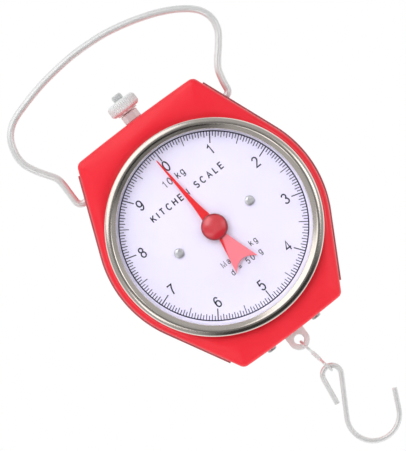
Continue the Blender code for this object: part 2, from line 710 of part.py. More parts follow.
def make_zero_nut():
    """Knurled thumb nut with a chamfered rim and a low boss under it."""
    base = NUT_FOOT + NUT_BOSS_H
    top = base + NUT_H
    bm = bmesh.new()
    rings = [(NUT_R - NUT_CHAMFER, base), (NUT_R, base + NUT_CHAMFER), (NUT_R, top - NUT_CHAMFER),
             (NUT_R - NUT_CHAMFER, top)]
    rows = []
    for radius, z in rings:
        row = []
        for k in range(2 * KNURLS):
            r = min(radius, NUT_R - KNURL_DEPTH) if k % 2 else radius
            turn = math.pi * k / KNURLS
            row.append(bm.verts.new((r * math.cos(turn), r * math.sin(turn), z)))
        rows.append(row)
    for lower, upper in zip(rows, rows[1:]):
        for k in range(2 * KNURLS):
            after = (k + 1) % (2 * KNURLS)
            bm.faces.new((lower[k], lower[after], upper[after], upper[k]))
    bm.faces.new(rows[0][::-1])
    bm.faces.new(rows[-1])
    mesh = bpy.data.meshes.new("nut")
    bm.to_mesh(mesh)
    bm.free()
    obj = bpy.data.objects.new("nut", mesh)
    parts.objects.link(obj)
    boss = cutter(cylinder(NUT_BOSS_R, (0, 0, NUT_FOOT), (0, 0, base + 1 * MM)))
    boss.name = "nut_boss"
    boolean(obj, boss, "UNION")
    bore = cutter(cylinder(STUD_R + GAP, (0, 0, NUT_FOOT - 5 * MM), (0, 0, STUD_TOP + 5 * MM)))
    bore.name = "nut_bore"
    boolean(obj, bore)
    place(obj, "zero_nut", chrome, nut_axis)


def make_zero_screw():
    """The stud, forked over the spring hanger at its foot, with the pin that joins them."""
    foot = HANGER_TOP - FORK_L
    chamfer = 0.6 * MM
    profile = [(0, STUD_TOP), (STUD_R - chamfer, STUD_TOP), (STUD_R, STUD_TOP - chamfer)]
    profile += [(STUD_R, foot), (0, foot)]
    obj = turned(profile, "Z", 24)
    top = HANGER_TOP + GAP
    slot = cutter(box((-STUD_R * 2, -STRIP_T / 2 - GAP, foot - 1 * MM), (STUD_R * 2, STRIP_T / 2 + GAP, top)))
    slot.name = "stud_slot"
    boolean(obj, slot)
    pin_z = (foot + top) / 2
    bore = cutter(cylinder(PIN_R + GAP, (0, -STUD_R * 2, pin_z), (0, STUD_R * 2, pin_z), 16))
    bore.name = "stud_pin_bore"
    boolean(obj, bore)
    place(obj, "zero_screw", chrome, stud_axis)
    low = HANGER_HOLE_Z - HOOK_HOLE_R - STRIP_EDGE
    half = STRIP_HALF
    outline = [(-half, low), (half, low), (half, HANGER_TOP), (-half, HANGER_TOP)]
    loops = [outline, circle(0, pin_z, PIN_R + GAP, 16)]
    loops += [circle(x, HANGER_HOLE_Z, HOOK_HOLE_R) for x in (-SPRING_X, SPRING_X)]
    place(plate(loops, STRIP_T, 0), "spring_hanger", zinc, stud_axis)
    pin = cylinder(PIN_R, (0, -STUD_R - 0.4 * MM, pin_z), (0, STUD_R + 0.4 * MM, pin_z), 16)
    place(pin, "hanger_pin", steel, stud_axis)


# ---------------------------------------------------------------- springs and load bar

def spring_path(x):
    """Lower hook, coils and upper hook of one extension spring, bottom to top."""
    def hook(hole_z, up):
        middle = hole_z - up * SPRING_HOOK_R
        turns = [math.radians(a) for a in range(55, 361, 28)]
        return [
            Vector((x, SPRING_HOOK_R * math.sin(turn), middle - up * SPRING_HOOK_R * math.cos(turn)))
            for turn in turns
        ]

    lower, upper = hook(BAR_HOLE_Z, -1), hook(HANGER_HOLE_Z, 1)
    start, end = lower[-1].z + COIL_LEAD, upper[-1].z - COIL_LEAD
    per_turn = 8
    count = SPRING_TURNS * per_turn
    coils = []
    for k in range(-4, count + 5):
        share = min(max(k / count, 0), 1)
        inward = max(-k, k - count, 0) / 5
        turn = math.tau * k / per_turn
        radius = SPRING_R * (1 - inward)
        lead = (min(k, 0) + max(k - count, 0)) / 5 * COIL_LEAD
        z = start + (end - start) * share + lead
        coils.append(Vector((x + radius * math.cos(turn), radius * math.sin(turn), z)))
    return lower + coils + upper[::-1]


def make_springs():
    for side, x in (("left", -SPRING_X), ("right", SPRING_X)):
        place(wire(spring_path(x), SPRING_WIRE_R), f"spring_{side}", steel, housing)


def make_load_bar():
    """Cross bar for the springs with the eye strip below it, in one stamping."""
    top = BAR_HOLE_Z + HOOK_HOLE_R + STRIP_EDGE
    low = top - STRIP_H
    stem = EYE_R
    round_end = [
        (EYE_R * math.cos(turn), EYE_Z + EYE_R * math.sin(turn))
        for turn in (-math.pi * k / 12 for k in range(13))
    ]
    outline = [(-STRIP_HALF, top), (-STRIP_HALF, low), (-stem, low)] + round_end[::-1]
    outline += [(stem, low), (STRIP_HALF, low), (STRIP_HALF, top)]
    loops = [outline, circle(0, EYE_Z, EYE_HOLE_R, 24), circle(RACK_PIN_X, RACK_PIN_Z, PIN_R + GAP, 16)]
    loops += [circle(x, BAR_HOLE_Z, HOOK_HOLE_R) for x in (-SPRING_X, SPRING_X)]
    place(plate(loops, STRIP_T, 0), "load_bar", zinc, load_axis)


def make_rack():
    pitch = math.tau * PITCH_R / PINION_TEETH
    module = pitch / math.pi
    half = pitch / 4 - BACKLASH / 2
    slope = math.tan(PRESSURE)
    dedendum = 1.3 * module
    back = PITCH_R + RACK_BACK
    foot, top = RACK_PIN_Z - 3.4 * PIN_R, (RACK_TEETH[1] + 0.6) * pitch
    outline = [(PITCH_R + dedendum, foot)]
    for k in range(*RACK_TEETH):
        z = (k + 0.5) * pitch
        root, tip = half + dedendum * slope, half - RACK_ADDENDUM * slope
        outline += [(PITCH_R + dedendum, z - root), (PITCH_R - RACK_ADDENDUM, z - tip)]
        outline += [(PITCH_R - RACK_ADDENDUM, z + tip), (PITCH_R + dedendum, z + root)]
    outline += [(PITCH_R + dedendum, top), (back, top), (back, foot)]
    loops = [outline[::-1], circle(RACK_PIN_X, RACK_PIN_Z, PIN_R + GAP, 16)]
    place(plate(loops, RACK_T, RACK_Y), "rack", brass, load_axis)
    pin = cylinder(PIN_R, (RACK_PIN_X, RACK_Y - RACK_T, RACK_PIN_Z), (RACK_PIN_X, STRIP_T, RACK_PIN_Z), 16)
    place(pin, "rack_pin", steel, load_axis)


# ---------------------------------------------------------------- pointer

def pinion_outline():
    """Involute teeth with the first tooth on +X."""
    module = 2 * PITCH_R / PINION_TEETH
    base, tip, root = PITCH_R * math.cos(PRESSURE), PITCH_R + module, PITCH_R - 1.2 * module
    at_pitch = math.pi / (2 * PINION_TEETH) - BACKLASH / (2 * PITCH_R)

    def half_angle(radius):
        lean = math.acos(min(1.0, base / radius))
        return at_pitch + (math.tan(PRESSURE) - PRESSURE) - (math.tan(lean) - lean)

    radii = [base + (tip - base) * k / 3 for k in range(4)]
    flank_points = [(root, half_angle(base))] + [(r, half_angle(r)) for r in radii]
    outline = []
    for tooth in range(PINION_TEETH):
        turn = math.tau * tooth / PINION_TEETH
        outline += [(r * math.cos(turn - a), r * math.sin(turn - a)) for r, a in flank_points]
        outline += [(r * math.cos(turn + a), r * math.sin(turn + a)) for r, a in reversed(flank_points)]
    return outline


def make_arbor():
    front, back = POINTER_Y - BLADE_T, FRAME_Y - FRAME_T / 2 + GAP + BUSH_L + 2 * MM
    place(cylinder(ARBOR_R, (0, front, 0), (0, back, 0), 32), "arbor", steel, pointer_axis)
    loops = [pinion_outline(), circle(0, 0, ARBOR_R + ARBOR_PLAY, 32)]
    gear = plate(loops, RACK_T + 2 * FACE_SPARE, RACK_Y)
    place(gear, "pinion", brass, pointer_axis)


def make_pointer():
    """Needle with a swallow tail, and the domed cap over its hub."""
    needle = [(2.9 * MM, 6.0 * MM), (2.3 * MM, 10.0 * MM), (1.55 * MM, 16.0 * MM), (1.1 * MM, 24.0 * MM)]
    needle += [(0.8 * MM, TIP_R - 11.6 * MM), (0.45 * MM, TIP_R - 1.6 * MM), (0.12 * MM, TIP_R)]
    tail = [(2.3 * MM, -6.0 * MM), (7.2 * MM, -25.6 * MM), (4.6 * MM, -23.1 * MM), (2.4 * MM, -21.9 * MM)]
    right = needle[::-1] + tail + [(0, -21.5 * MM)]
    left = [(-x, z) for x, z in reversed(right[:-1])]
    loops = [right + left, circle(0, 0, ARBOR_R + ARBOR_PLAY, 24)]
    obj = plate(loops, BLADE_T, POINTER_Y)
    obj.rotation_euler = (math.pi / 2, POINTER_REST, 0)
    place(obj, "pointer", pointer_red, pointer_axis)
    top = POINTER_Y - BLADE_T / 2 - GAP
    dome = [
        (HUB_R * math.cos(math.radians(a)), top - 0.9 * MM - (HUB_H - 0.9 * MM) * math.sin(math.radians(a)))
        for a in (0, 18, 36, 54, 72, 90)
    ]
    profile = [(0, top), (HUB_R - 0.3 * MM, top), (HUB_R, top - 0.3 * MM)] + dome[:-1] + [(0, dome[-1][1])]
    obj = turned(profile, "Y", 40)
    bore = cutter(cylinder(ARBOR_R + GAP, (0, POINTER_Y - BLADE_T - GAP, 0), (0, POINTER_Y + 1 * MM, 0)))
    bore.name = "cap_bore"
    boolean(obj, bore)
    place(obj, "pointer_cap", cap_red, pointer_axis)


# ---------------------------------------------------------------- bail, link and hook

def bail_path():
    """The hand-formed bail from its left pin to its right one. Its shoulders aren't quite alike."""
    def pin(neck, side):
        """From the pin's inner end, round the bend and up to the neck."""
        turns = [math.radians(a) for a in (0, 22.5, 45, 67.5, 90)]
        bend = [
            (neck - BAIL_BEND_R * (1 - math.sin(turn)), HINGE_Z + BAIL_BEND_R * (1 - math.cos(turn)))
            for turn in turns
        ]
        inner = side_x(HINGE_Z, 0) - PIN_REACH
        return [Vector((side * x, 0, z)) for x, z in [(inner, HINGE_Z), *bend]]

    # out from the neck and up from the hinge, then across from the middle and down from the top
    left_rise = [(0, 6.7), (0, 14.1), (0.7, 18.3), (3.8, 23.2)]
    left_bow = [(-56.4, 35.8), (-59.2, 29.5), (-59.3, 22.7), (-56.4, 14.9), (-50.0, 9.1), (-38.5, 5.2)]
    left_bow += [(-25.0, 2.1), (-10.0, 0.3), (0.0, 0.0)]
    right_bow = [(12.8, 0.8), (23.1, 2.6), (33.3, 5.3), (43.6, 9.0), (53.6, 14.3), (60.8, 20.5)]
    right_bow += [(63.9, 27.5), (62.7, 34.4), (58.5, 40.5)]
    right_rise = [(5.4, 18.1), (2.2, 13.3), (0.5, 7.1)]
    side = side_x(HINGE_Z, LAYER)
    left, right = side + BAIL_CLEAR_LEFT, side + BAIL_CLEAR_RIGHT
    loop = [(-left - out * MM, HINGE_Z + up * MM) for out, up in left_rise]
    loop += [(x * MM, BAIL_TOP_Z - down * MM) for x, down in left_bow + right_bow]
    loop += [(right + out * MM, HINGE_Z + up * MM) for out, up in right_rise]
    middle = smooth_path([(x, 0, z) for x, z in loop], 2)
    return pin(left, -1) + middle + pin(right, 1)[::-1]


def hook_path():
    """Short arm, top loop, shank along the circles' inner tangent, bowl and tip arm."""
    apart = HOOK_BOWL - HOOK_LOOP
    reach = math.hypot(apart.x, apart.z)
    shank_lean = math.asin((HOOK_LOOP_R + HOOK_BOWL_R) / reach) - math.atan2(apart.x, -apart.z)

    def spoke(middle, radius, turn):
        return middle + radius * Vector((math.cos(turn), 0, math.sin(turn)))

    def arc(middle, radius, start, end, steps):
        return [spoke(middle, radius, start + (end - start) * k / steps) for k in range(steps + 1)]

    loop_arc = arc(HOOK_LOOP, HOOK_LOOP_R, math.pi - HOOK_SHORT_LEAN, -shank_lean, 14)
    down = Vector((-math.sin(HOOK_SHORT_LEAN), 0, -math.cos(HOOK_SHORT_LEAN)))
    bowl_arc = arc(HOOK_BOWL, HOOK_BOWL_R, math.pi - shank_lean, math.tau - HOOK_TIP_LEAN, 16)
    up = Vector((math.sin(HOOK_TIP_LEAN), 0, math.cos(HOOK_TIP_LEAN)))
    return [loop_arc[0] + down * HOOK_SHORT_ARM] + loop_arc + bowl_arc + [bowl_arc[-1] + up * HOOK_TIP_ARM]


def make_hook():
    place(wire(hook_path(), HOOK_WIRE_R, 10), "s_hook", chrome, hook_axis)


def torus(major, minor, at, lean):
    bpy.ops.mesh.primitive_torus_add(
        major_radius=major, minor_radius=minor, major_segments=24, minor_segments=8,
        location=at, rotation=(0, math.pi / 2 - lean, 0),
    )
    return bpy.context.object


def make_link():
    """Wire link: an eye through the load bar, a twisted shank and a lower eye for the hook."""
    start = LINK_TOP_CENTRE + LINK_DOWN * LINK_TOP_R
    end = LINK_LOW_CENTRE - LINK_DOWN * LINK_LOW_R
    obj = cylinder(LINK_WIRE_R * 1.25, start, end, 12)
    lean = math.atan2(LINK_DOWN.x, -LINK_DOWN.z)
    eyes = (("link_top", LINK_TOP_R, LINK_TOP_CENTRE), ("link_low", LINK_LOW_R, LINK_LOW_CENTRE))
    for name, radius, at in eyes:
        eye = cutter(torus(radius, LINK_WIRE_R, at, lean))
        eye.name = name
        boolean(obj, eye, "UNION")
    place(obj, "wire_link", chrome, link_axis)


clear_scene()
parts = new_collection("kitchen_scale")
cutters = new_collection("cutters")

red = material("red_paint", (0.78, 0.03, 0.045), 0.35)
chrome = material("chrome", (0.75, 0.75, 0.75), 0.15, 1.0)
steel = material("bright_steel", (0.62, 0.62, 0.62), 0.3, 1.0)
zinc = material("zinc_plate", (0.55, 0.56, 0.58), 0.45, 1.0)
brass = material("brass", (0.72, 0.52, 0.2), 0.35, 1.0)
white = material("dial_white", (0.87, 0.85, 0.95), 0.4)
clear = material("clear_lens", (0.95, 0.96, 0.98), 0.05)
pointer_red = material("pointer_red", (0.85, 0.02, 0.03), 0.3)
cap_red = material("cap_red", (0.7, 0.02, 0.035), 0.2)
spacer_white = material("spacer_white", (0.87, 0.85, 0.95), 0.5)

centre = pivot("dial_centre", (0, 0, 0))
centre.location = (0, 0, -DIAL_DROP)
housing = pivot("housing_axis", (0, 0, HINGE_Z), centre)
bail_axis = pivot("bail_axis", (0, 0, HINGE_Z), centre)
pointer_axis = pivot("pointer_axis", (0, 0, 0), centre)
load_axis = pivot("load_axis", (0, 0, BAR_HOLE_Z), centre)
nut_axis = pivot("nut_axis", (0, 0, NUT_FOOT), centre)
stud_axis = pivot("stud_axis", (0, 0, HANGER_HOLE_Z), centre)
link_axis = pivot("link_axis", LINK_TOP_CENTRE, centre)
hook_axis = pivot("hook_axis", HOOK_SEAT, centre)

shared = housing_cutters()
make_front_shell(shared)
make_rear_cover(shared)
make_bezel()
make_window()
make_cover_screws()
make_frame(shared)
make_movement_plate()
make_bushes()
make_dial_fixings()
make_collar()
make_zero_nut()
make_zero_screw()
make_springs()
make_load_bar()
make_rack()
make_arbor()
make_pointer()
place(wire(bail_path(), WIRE_R, 10), "bail", chrome, bail_axis)
make_link()
make_hook()
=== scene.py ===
import json
import math

import bmesh
import bpy
from mathutils import Matrix, Vector, geometry


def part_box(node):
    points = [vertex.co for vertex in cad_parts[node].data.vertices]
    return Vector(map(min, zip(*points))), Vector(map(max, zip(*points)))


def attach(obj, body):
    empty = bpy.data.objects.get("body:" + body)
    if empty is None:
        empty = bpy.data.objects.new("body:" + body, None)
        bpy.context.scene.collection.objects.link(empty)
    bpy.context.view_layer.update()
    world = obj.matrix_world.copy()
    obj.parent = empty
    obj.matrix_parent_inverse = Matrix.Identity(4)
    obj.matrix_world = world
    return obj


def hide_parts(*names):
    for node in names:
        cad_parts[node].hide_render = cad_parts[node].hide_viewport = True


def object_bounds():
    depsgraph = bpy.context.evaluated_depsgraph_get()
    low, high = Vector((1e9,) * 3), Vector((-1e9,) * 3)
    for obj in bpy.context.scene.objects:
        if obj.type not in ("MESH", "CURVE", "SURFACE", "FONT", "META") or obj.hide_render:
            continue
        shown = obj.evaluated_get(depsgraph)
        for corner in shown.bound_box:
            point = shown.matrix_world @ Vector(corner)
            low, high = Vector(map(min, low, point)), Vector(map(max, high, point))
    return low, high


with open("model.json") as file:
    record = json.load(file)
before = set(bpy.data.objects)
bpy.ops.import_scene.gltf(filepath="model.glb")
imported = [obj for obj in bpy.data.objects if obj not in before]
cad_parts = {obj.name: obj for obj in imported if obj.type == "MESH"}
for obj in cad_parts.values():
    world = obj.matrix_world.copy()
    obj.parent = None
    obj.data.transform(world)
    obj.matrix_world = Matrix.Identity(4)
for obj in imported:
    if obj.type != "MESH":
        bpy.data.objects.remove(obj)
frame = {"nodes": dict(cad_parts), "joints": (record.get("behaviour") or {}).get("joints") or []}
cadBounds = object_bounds()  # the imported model's box, before anything is added
print("frame loaded:", len(frame["nodes"]), "nodes")

mm = 0.001
plateLow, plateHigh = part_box("dial_plate")
dialCentre = Vector(((plateLow.x + plateHigh.x) / 2, 0, (plateLow.z + plateHigh.z) / 2))


# Pieces are drawn in millimetres about the dial's centre: x to the right, z up, the front towards -y.
def boxOf(node):
    low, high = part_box(node)
    return (low - dialCentre) / mm, (high - dialCentre) / mm


def middleX(node):
    low, high = boxOf(node)
    return (low.x + high.x) / 2


def jointPoint(name):
    found = next(joint for joint in frame["joints"] if joint["name"] == name)
    return (Vector(found["pos_m"]) - dialCentre) / mm


def filleted(points, steps=6, closed=False):
    # a corner given as (a, b, radius) becomes an arc of that radius
    made = []
    last = len(points) - 1
    for k, point in enumerate(points):
        here = Vector(point[:2])
        radius = point[2] if len(point) > 2 else 0
        if radius == 0 or (not closed and k in (0, last)):
            made.append(here)
            continue
        before = (Vector(points[k - 1][:2]) - here).normalized()
        after = (Vector(points[(k + 1) % len(points)][:2]) - here).normalized()
        half = before.angle(after) / 2
        middle = here + (before + after).normalized() * radius / math.sin(half)
        start = here + before * radius / math.tan(half) - middle
        finish = here + after * radius / math.tan(half) - middle
        sweep = start.angle(finish)
        for step in range(steps + 1):
            share = step / steps
            spoke = start * math.sin((1 - share) * sweep) + finish * math.sin(share * sweep)
            made.append(middle + spoke / math.sin(sweep))
    return made


def spread(points, longest):
    # splits the long runs of a closed loop
    made = []
    for k, here in enumerate(points):
        after = points[(k + 1) % len(points)]
        parts = max(1, math.ceil((after - here).length / longest))
        made += [here.lerp(after, part / parts) for part in range(parts)]
    return made


def insetLoop(loop, depth):
    # moves a loop towards its left side, which is inwards for an outline drawn anticlockwise
    made = []
    for k, here in enumerate(loop):
        before = (here - loop[k - 1]).normalized()
        after = (loop[(k + 1) % len(loop)] - here).normalized()
        normal = Vector((-before.y - after.y, before.x + after.x)).normalized()
        lean = max(0.35, normal.dot(Vector((-before.y, before.x))))
        made.append(here + normal * depth / lean)
    return made


def turnAngles(count):
    return [math.tau * k / count for k in range(count)]


def circleLoop(x, z, radius, steps, turn=1):
    # anticlockwise, or clockwise where turn is -1
    return [Vector((x + radius * math.cos(a), z + turn * radius * math.sin(a))) for a in turnAngles(steps)]


def rowAt(bm, points, depth):
    return [bm.verts.new((p.x, depth, p.y)) for p in points]


def skinRows(bm, rows, capped=False):
    # faces between closed rows of vertices, and over the first and last of them where it is capped
    for low, high in zip(rows, rows[1:]):
        for k, here in enumerate(low):
            after = (k + 1) % len(low)
            bm.faces.new((here, low[after], high[after], high[k]))
    if capped:
        bm.faces.new(rows[0])
        bm.faces.new(rows[-1])


def slab(bm, loops, front, back, bevel, steps=3, margin=0.25):
    # a flat piece with rounded edges: the first loop is its outline, the others its holes, clockwise;
    # a row of points at the margin inside its edges keeps the shading of the flats even
    sides = []
    for loop in loops:
        rows = [(bevel + margin, front)] if margin else []
        for k in range(steps + 1):
            angle = math.pi / 2 * k / steps
            rows.append((bevel * (1 - math.sin(angle)), front + bevel * (1 - math.cos(angle))))
        rows += [(inset, front + back - y) for inset, y in reversed(rows)]
        verts = [rowAt(bm, insetLoop(loop, inset), y) for inset, y in rows]
        skinRows(bm, verts)
        sides.append(verts)
    for end in (0, -1):
        flat = [vert for verts in sides for vert in verts[end]]
        shape = [[Vector((v.co.x, v.co.z, 0)) for v in verts[end]] for verts in sides]
        for corners in geometry.tessellate_polygon(shape):
            bm.faces.new([flat[k] for k in corners])


def withMargins(points, margin, closed):
    # extra points near the ends of long straights, so that they shade as flat
    kept = []
    for point, after in zip(points, points[1:] + points[:1] if closed else points[1:]):
        way = after - point
        kept.append(point)
        if way.length > 6 * margin:
            kept += [point + way.normalized() * margin, after - way.normalized() * margin]
    return kept if closed else kept + points[-1:]


def turnedMesh(profile, axis="Y", steps=160, closed=False, at=(0, 0, 0)):
    # a profile of (radius, height) pairs turned about an axis through the point at
    bm = bmesh.new()
    at = Vector(at)
    profile = withMargins([Vector(p[:2]) for p in profile], 0.2, closed)

    def place(radius, height, angle):
        across, up = radius * math.cos(angle), radius * math.sin(angle)
        return at + (Vector((across, height, up)) if axis == "Y" else Vector((across, up, height)))

    rows = []
    for radius, height in profile:
        angles = turnAngles(steps) if radius > 0.001 else [0.0]
        rows.append([bm.verts.new(place(radius, height, angle)) for angle in angles])
    for low, high in zip(rows, rows[1:] + rows[:1] if closed else rows[1:]):
        for k in range(steps):
            around = ((low, k), (low, k + 1), (high, k + 1), (high, k))
            corners = [row[at % len(row)] for row, at in around]
            bm.faces.new(list(dict.fromkeys(corners)))  # three corners at a pole
    return meshOf(bm)


def sweepWire(bm, path, radius, sides, nose):
    # a round wire along the path, with a UV map that runs round it and along it, and noses at its ends
    uv = bm.loops.layers.uv.verify()
    path = [Vector(p) for p in path]
    last = len(path) - 1
    tangents = [(path[min(k + 1, last)] - path[max(k - 1, 0)]).normalized() for k in range(last + 1)]
    side = tangents[0].orthogonal().normalized()
    stops, length = [], 0.0
    for k, here in enumerate(path):
        if k:
            side = tangents[k - 1].rotation_difference(tangents[k]) @ side
            length += (here - path[k - 1]).length
        stops.append((here, tangents[k], side, radius, length))
    for end, way in ((0, -1), (-1, 1)):
        here, tangent, side, full, length = stops[end]
        rounded = []
        for k in range(5):
            angle = math.pi / 8 * k
            slide = way * nose * (math.sin(angle) - 1)
            size = full - nose * (1 - math.cos(angle))
            rounded.append((here + tangent * slide, tangent, side, size, length))
        stops = rounded[::-1] + stops[1:] if end == 0 else stops[:-1] + rounded
    rings = []
    for here, tangent, side, size, length in stops:
        other = tangent.cross(side)
        spokes = [math.cos(a) * side + math.sin(a) * other for a in turnAngles(sides)]
        rings.append([bm.verts.new(here + size * spoke) for spoke in spokes])
    lengths = [stop[4] for stop in stops]
    for low, high, start, finish in zip(rings, rings[1:], lengths, lengths[1:]):
        for k in range(sides):
            after = (k + 1) % sides
            face = bm.faces.new((low[k], low[after], high[after], high[k]))
            corners = ((k, start), (k + 1, start), (k + 1, finish), (k, finish))
            for loop, (u, v) in zip(face.loops, corners):
                loop[uv].uv = (u / sides, v)
    bm.faces.new(rings[0][::-1])
    bm.faces.new(rings[-1])


def smoothPath(keys, perSpan):
    keys = [Vector(key) for key in keys]
    ends = [2 * keys[0] - keys[1]] + keys + [2 * keys[-1] - keys[-2]]
    path = []
    for a, b, c, d in zip(ends, ends[1:], ends[2:], ends[3:]):
        for k in range(perSpan):
            t = k / perSpan
            cubic = 3 * b - a - 3 * c + d
            path.append(0.5 * (2 * b + (c - a) * t + (2 * a - 5 * b + 4 * c - d) * t * t + cubic * t ** 3))
    return path + [keys[-1]]


def arcPath(middle, radius, start, finish, steps):
    angles = [start + (finish - start) * k / steps for k in range(steps + 1)]
    return [middle + radius * Vector((math.cos(a), 0, math.sin(a))) for a in angles]


def meshOf(bm, merge=True):
    if merge:
        bmesh.ops.remove_doubles(bm, verts=bm.verts, dist=0.0005)
    bmesh.ops.recalc_face_normals(bm, faces=bm.faces)
    mesh = bpy.data.meshes.new("shape")
    bm.to_mesh(mesh)
    bm.free()
    return mesh


def looseObject(mesh, name="shape"):
    obj = bpy.data.objects.new(name, mesh)
    bpy.context.scene.collection.objects.link(obj)
    return obj


def bakedMesh(obj):
    # the object's evaluated mesh, with the object and its modifiers gone
    graph = bpy.context.evaluated_depsgraph_get()
    mesh = bpy.data.meshes.new_from_object(obj.evaluated_get(graph))
    bpy.data.objects.remove(obj)
    return mesh


def roundCutter(start, finish, radius, sides=48):
    start, finish = Vector(start), Vector(finish)
    bm = bmesh.new()
    along = finish - start
    turn = along.to_track_quat("Z", "Y").to_matrix().to_4x4()
    bmesh.ops.create_cone(
        bm, cap_ends=True, segments=sides, radius1=radius, radius2=radius, depth=along.length,
        matrix=Matrix.Translation((start + finish) / 2) @ turn,
    )
    return looseObject(meshOf(bm), "cutter")


def boxCutter(low, high, turn=0.0):
    low, high = Vector(low), Vector(high)
    bm = bmesh.new()
    bmesh.ops.create_cube(bm, size=1, matrix=Matrix.Diagonal((*(high - low), 1)))
    place = Matrix.Translation((low + high) / 2) @ Matrix.Rotation(turn, 4, "Y")
    bmesh.ops.transform(bm, matrix=place, verts=bm.verts)
    return looseObject(meshOf(bm), "cutter")


def cutMesh(mesh, cutters):
    obj = looseObject(mesh)
    for cutter in cutters:
        step = obj.modifiers.new("Cut", "BOOLEAN")
        step.object = cutter
        step.solver = "EXACT"
    made = bakedMesh(obj)
    for cutter in cutters:
        bpy.data.objects.remove(cutter)
    return made


def finishPiece(name, mesh, finish, body, nodes=(), sharp=32, edges=None):
    # from millimetres about the dial to the frame, then smooth shading, material and body;
    # edges is a second finish and the test for the faces that have it
    mesh.materials.clear()
    mesh.materials.append(finishes[finish])
    if edges:
        mesh.materials.append(finishes[edges[0]])
        for face in mesh.polygons:
            face.material_index = 1 if edges[1](face) else 0
    mesh.transform(Matrix.Translation(dialCentre) @ Matrix.Scale(mm, 4))
    mesh.shade_smooth()
    mesh.set_sharp_from_angle(angle=math.radians(sharp))
    piece = looseObject(mesh, name)
    piece.name = mesh.name = name
    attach(piece, body)
    if nodes:
        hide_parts(*nodes)


def feedNode(tree, node, feeds):
    # each input gets a link where it is given another node's output, and a plain value otherwise
    for name, value in feeds.items():
        if isinstance(value, bpy.types.NodeSocket):
            tree.links.new(value, node.inputs[name])
        else:
            node.inputs[name].default_value = value


def addNode(tree, kind, feeds=None, **settings):
    node = tree.nodes.new(kind)
    for name, value in settings.items():
        setattr(node, name, value)
    feedNode(tree, node, feeds or {})
    return node


def calc(tree, operation, a, b=0.0, clamp=False):
    return addNode(tree, "ShaderNodeMath", {0: a, 1: b}, operation=operation, use_clamp=clamp).outputs[0]


def product(tree, a, b):
    return calc(tree, "MULTIPLY", a, b)


def total(tree, a, b):
    return calc(tree, "ADD", a, b)


def ramp(tree, value, low, high):
    # 0 below low, 1 above high
    feeds = {"Value": value, "From Min": low, "From Max": high}
    return addNode(tree, "ShaderNodeMapRange", feeds, clamp=True).outputs["Result"]


def between(tree, share, low, high):
    feeds = {"Value": share, "To Min": low, "To Max": high}
    return addNode(tree, "ShaderNodeMapRange", feeds, clamp=True).outputs["Result"]


def mixValue(tree, share, first, second):
    return addNode(tree, "ShaderNodeMix", {0: share, 2: first, 3: second}, data_type="FLOAT").outputs[0]


def mixColour(tree, share, first, second):
    return addNode(tree, "ShaderNodeMix", {0: share, 6: first, 7: second}, data_type="RGBA").outputs[2]


def splitVector(tree, vector):
    return addNode(tree, "ShaderNodeSeparateXYZ", {"Vector": vector}).outputs


def joinVector(tree, parts):
    return addNode(tree, "ShaderNodeCombineXYZ", parts).outputs[0]


def newGroup(name, kind, inputs, outputs):
    # an input is given by the value it starts with, or by its kind where it has none
    tree = bpy.data.node_groups.new(name, kind)
    for title, value in inputs.items():
        given = value if isinstance(value, str) else "Int" if isinstance(value, int) else "Float"
        socket = tree.interface.new_socket(name=title, in_out="INPUT", socket_type="NodeSocket" + given)
        if given != value:
            socket.default_value = value
    for title, given in outputs.items():
        tree.interface.new_socket(name=title, in_out="OUTPUT", socket_type="NodeSocket" + given)
    return tree, tree.nodes.new("NodeGroupInput").outputs, tree.nodes.new("NodeGroupOutput").inputs


def noise(tree, vector, scale, detail=3.0, roughness=0.5):
    feeds = {"Vector": vector, "Scale": scale, "Detail": detail, "Roughness": roughness}
    return addNode(tree, "ShaderNodeTexNoise", feeds).outputs["Fac"]


def makePeelGroup():
    # the skin of stoved enamel: soft ripples, a little grit, and cloudy tone
    tree, given, put = newGroup(
        "enamelSkin", "ShaderNodeTree",
        {"Vector": "Vector", "Ripple Scale": 900.0, "Grit Scale": 3200.0, "Grit": 0.25},
        {"Height": "Float", "Cloud": "Float", "Speck": "Float"},
    )
    ripple = noise(tree, given["Vector"], given["Ripple Scale"], 2.0, 0.4)
    grit = noise(tree, given["Vector"], given["Grit Scale"], 3.0, 0.7)
    tree.links.new(total(tree, ripple, product(tree, grit, given["Grit"])), put["Height"])
    tree.links.new(ramp(tree, noise(tree, given["Vector"], 55.0, 4.0, 0.6), 0.3, 0.7), put["Cloud"])
    tree.links.new(ramp(tree, noise(tree, given["Vector"], 1500.0, 1.0, 0.5), 0.70, 0.80), put["Speck"])
    return tree


def makeLineGroup():
    # drawing or turning lines: noise stretched along the second direction of the vector it is given
    tree, given, put = newGroup(
        "toolLines", "ShaderNodeTree",
        {"Vector": "Vector", "Across": 40.0, "Along": 0.3}, {"Height": "Float", "Streak": "Float"},
    )
    parts = splitVector(tree, given["Vector"])
    scales = {"X": given["Across"], "Y": given["Along"], "Z": given["Across"]}
    stretched = joinVector(tree, {axis: product(tree, parts[axis], scales[axis]) for axis in scales})
    fine = noise(tree, stretched, 1.0, 6.0, 0.75)
    broad = noise(tree, stretched, 0.18, 3.0, 0.5)
    tree.links.new(fine, put["Height"])
    tree.links.new(ramp(tree, total(tree, fine, broad), 0.7, 1.3), put["Streak"])
    return tree


def makeRoundGroup():
    # a turned piece's own directions: radius, a slow drift round it, and depth
    tree, given, put = newGroup(
        "turnedDirections", "ShaderNodeTree", {"Vector": "Vector"}, {"Vector": "Vector"}
    )
    parts = splitVector(tree, given["Vector"])
    radius = calc(tree, "SQRT", total(tree, *[product(tree, parts[axis], parts[axis]) for axis in "XZ"]))
    drift = calc(tree, "DIVIDE", parts["X"], total(tree, radius, 0.0001))
    tree.links.new(joinVector(tree, {"X": radius, "Y": drift, "Z": parts["Y"]}), put["Vector"])
    return tree


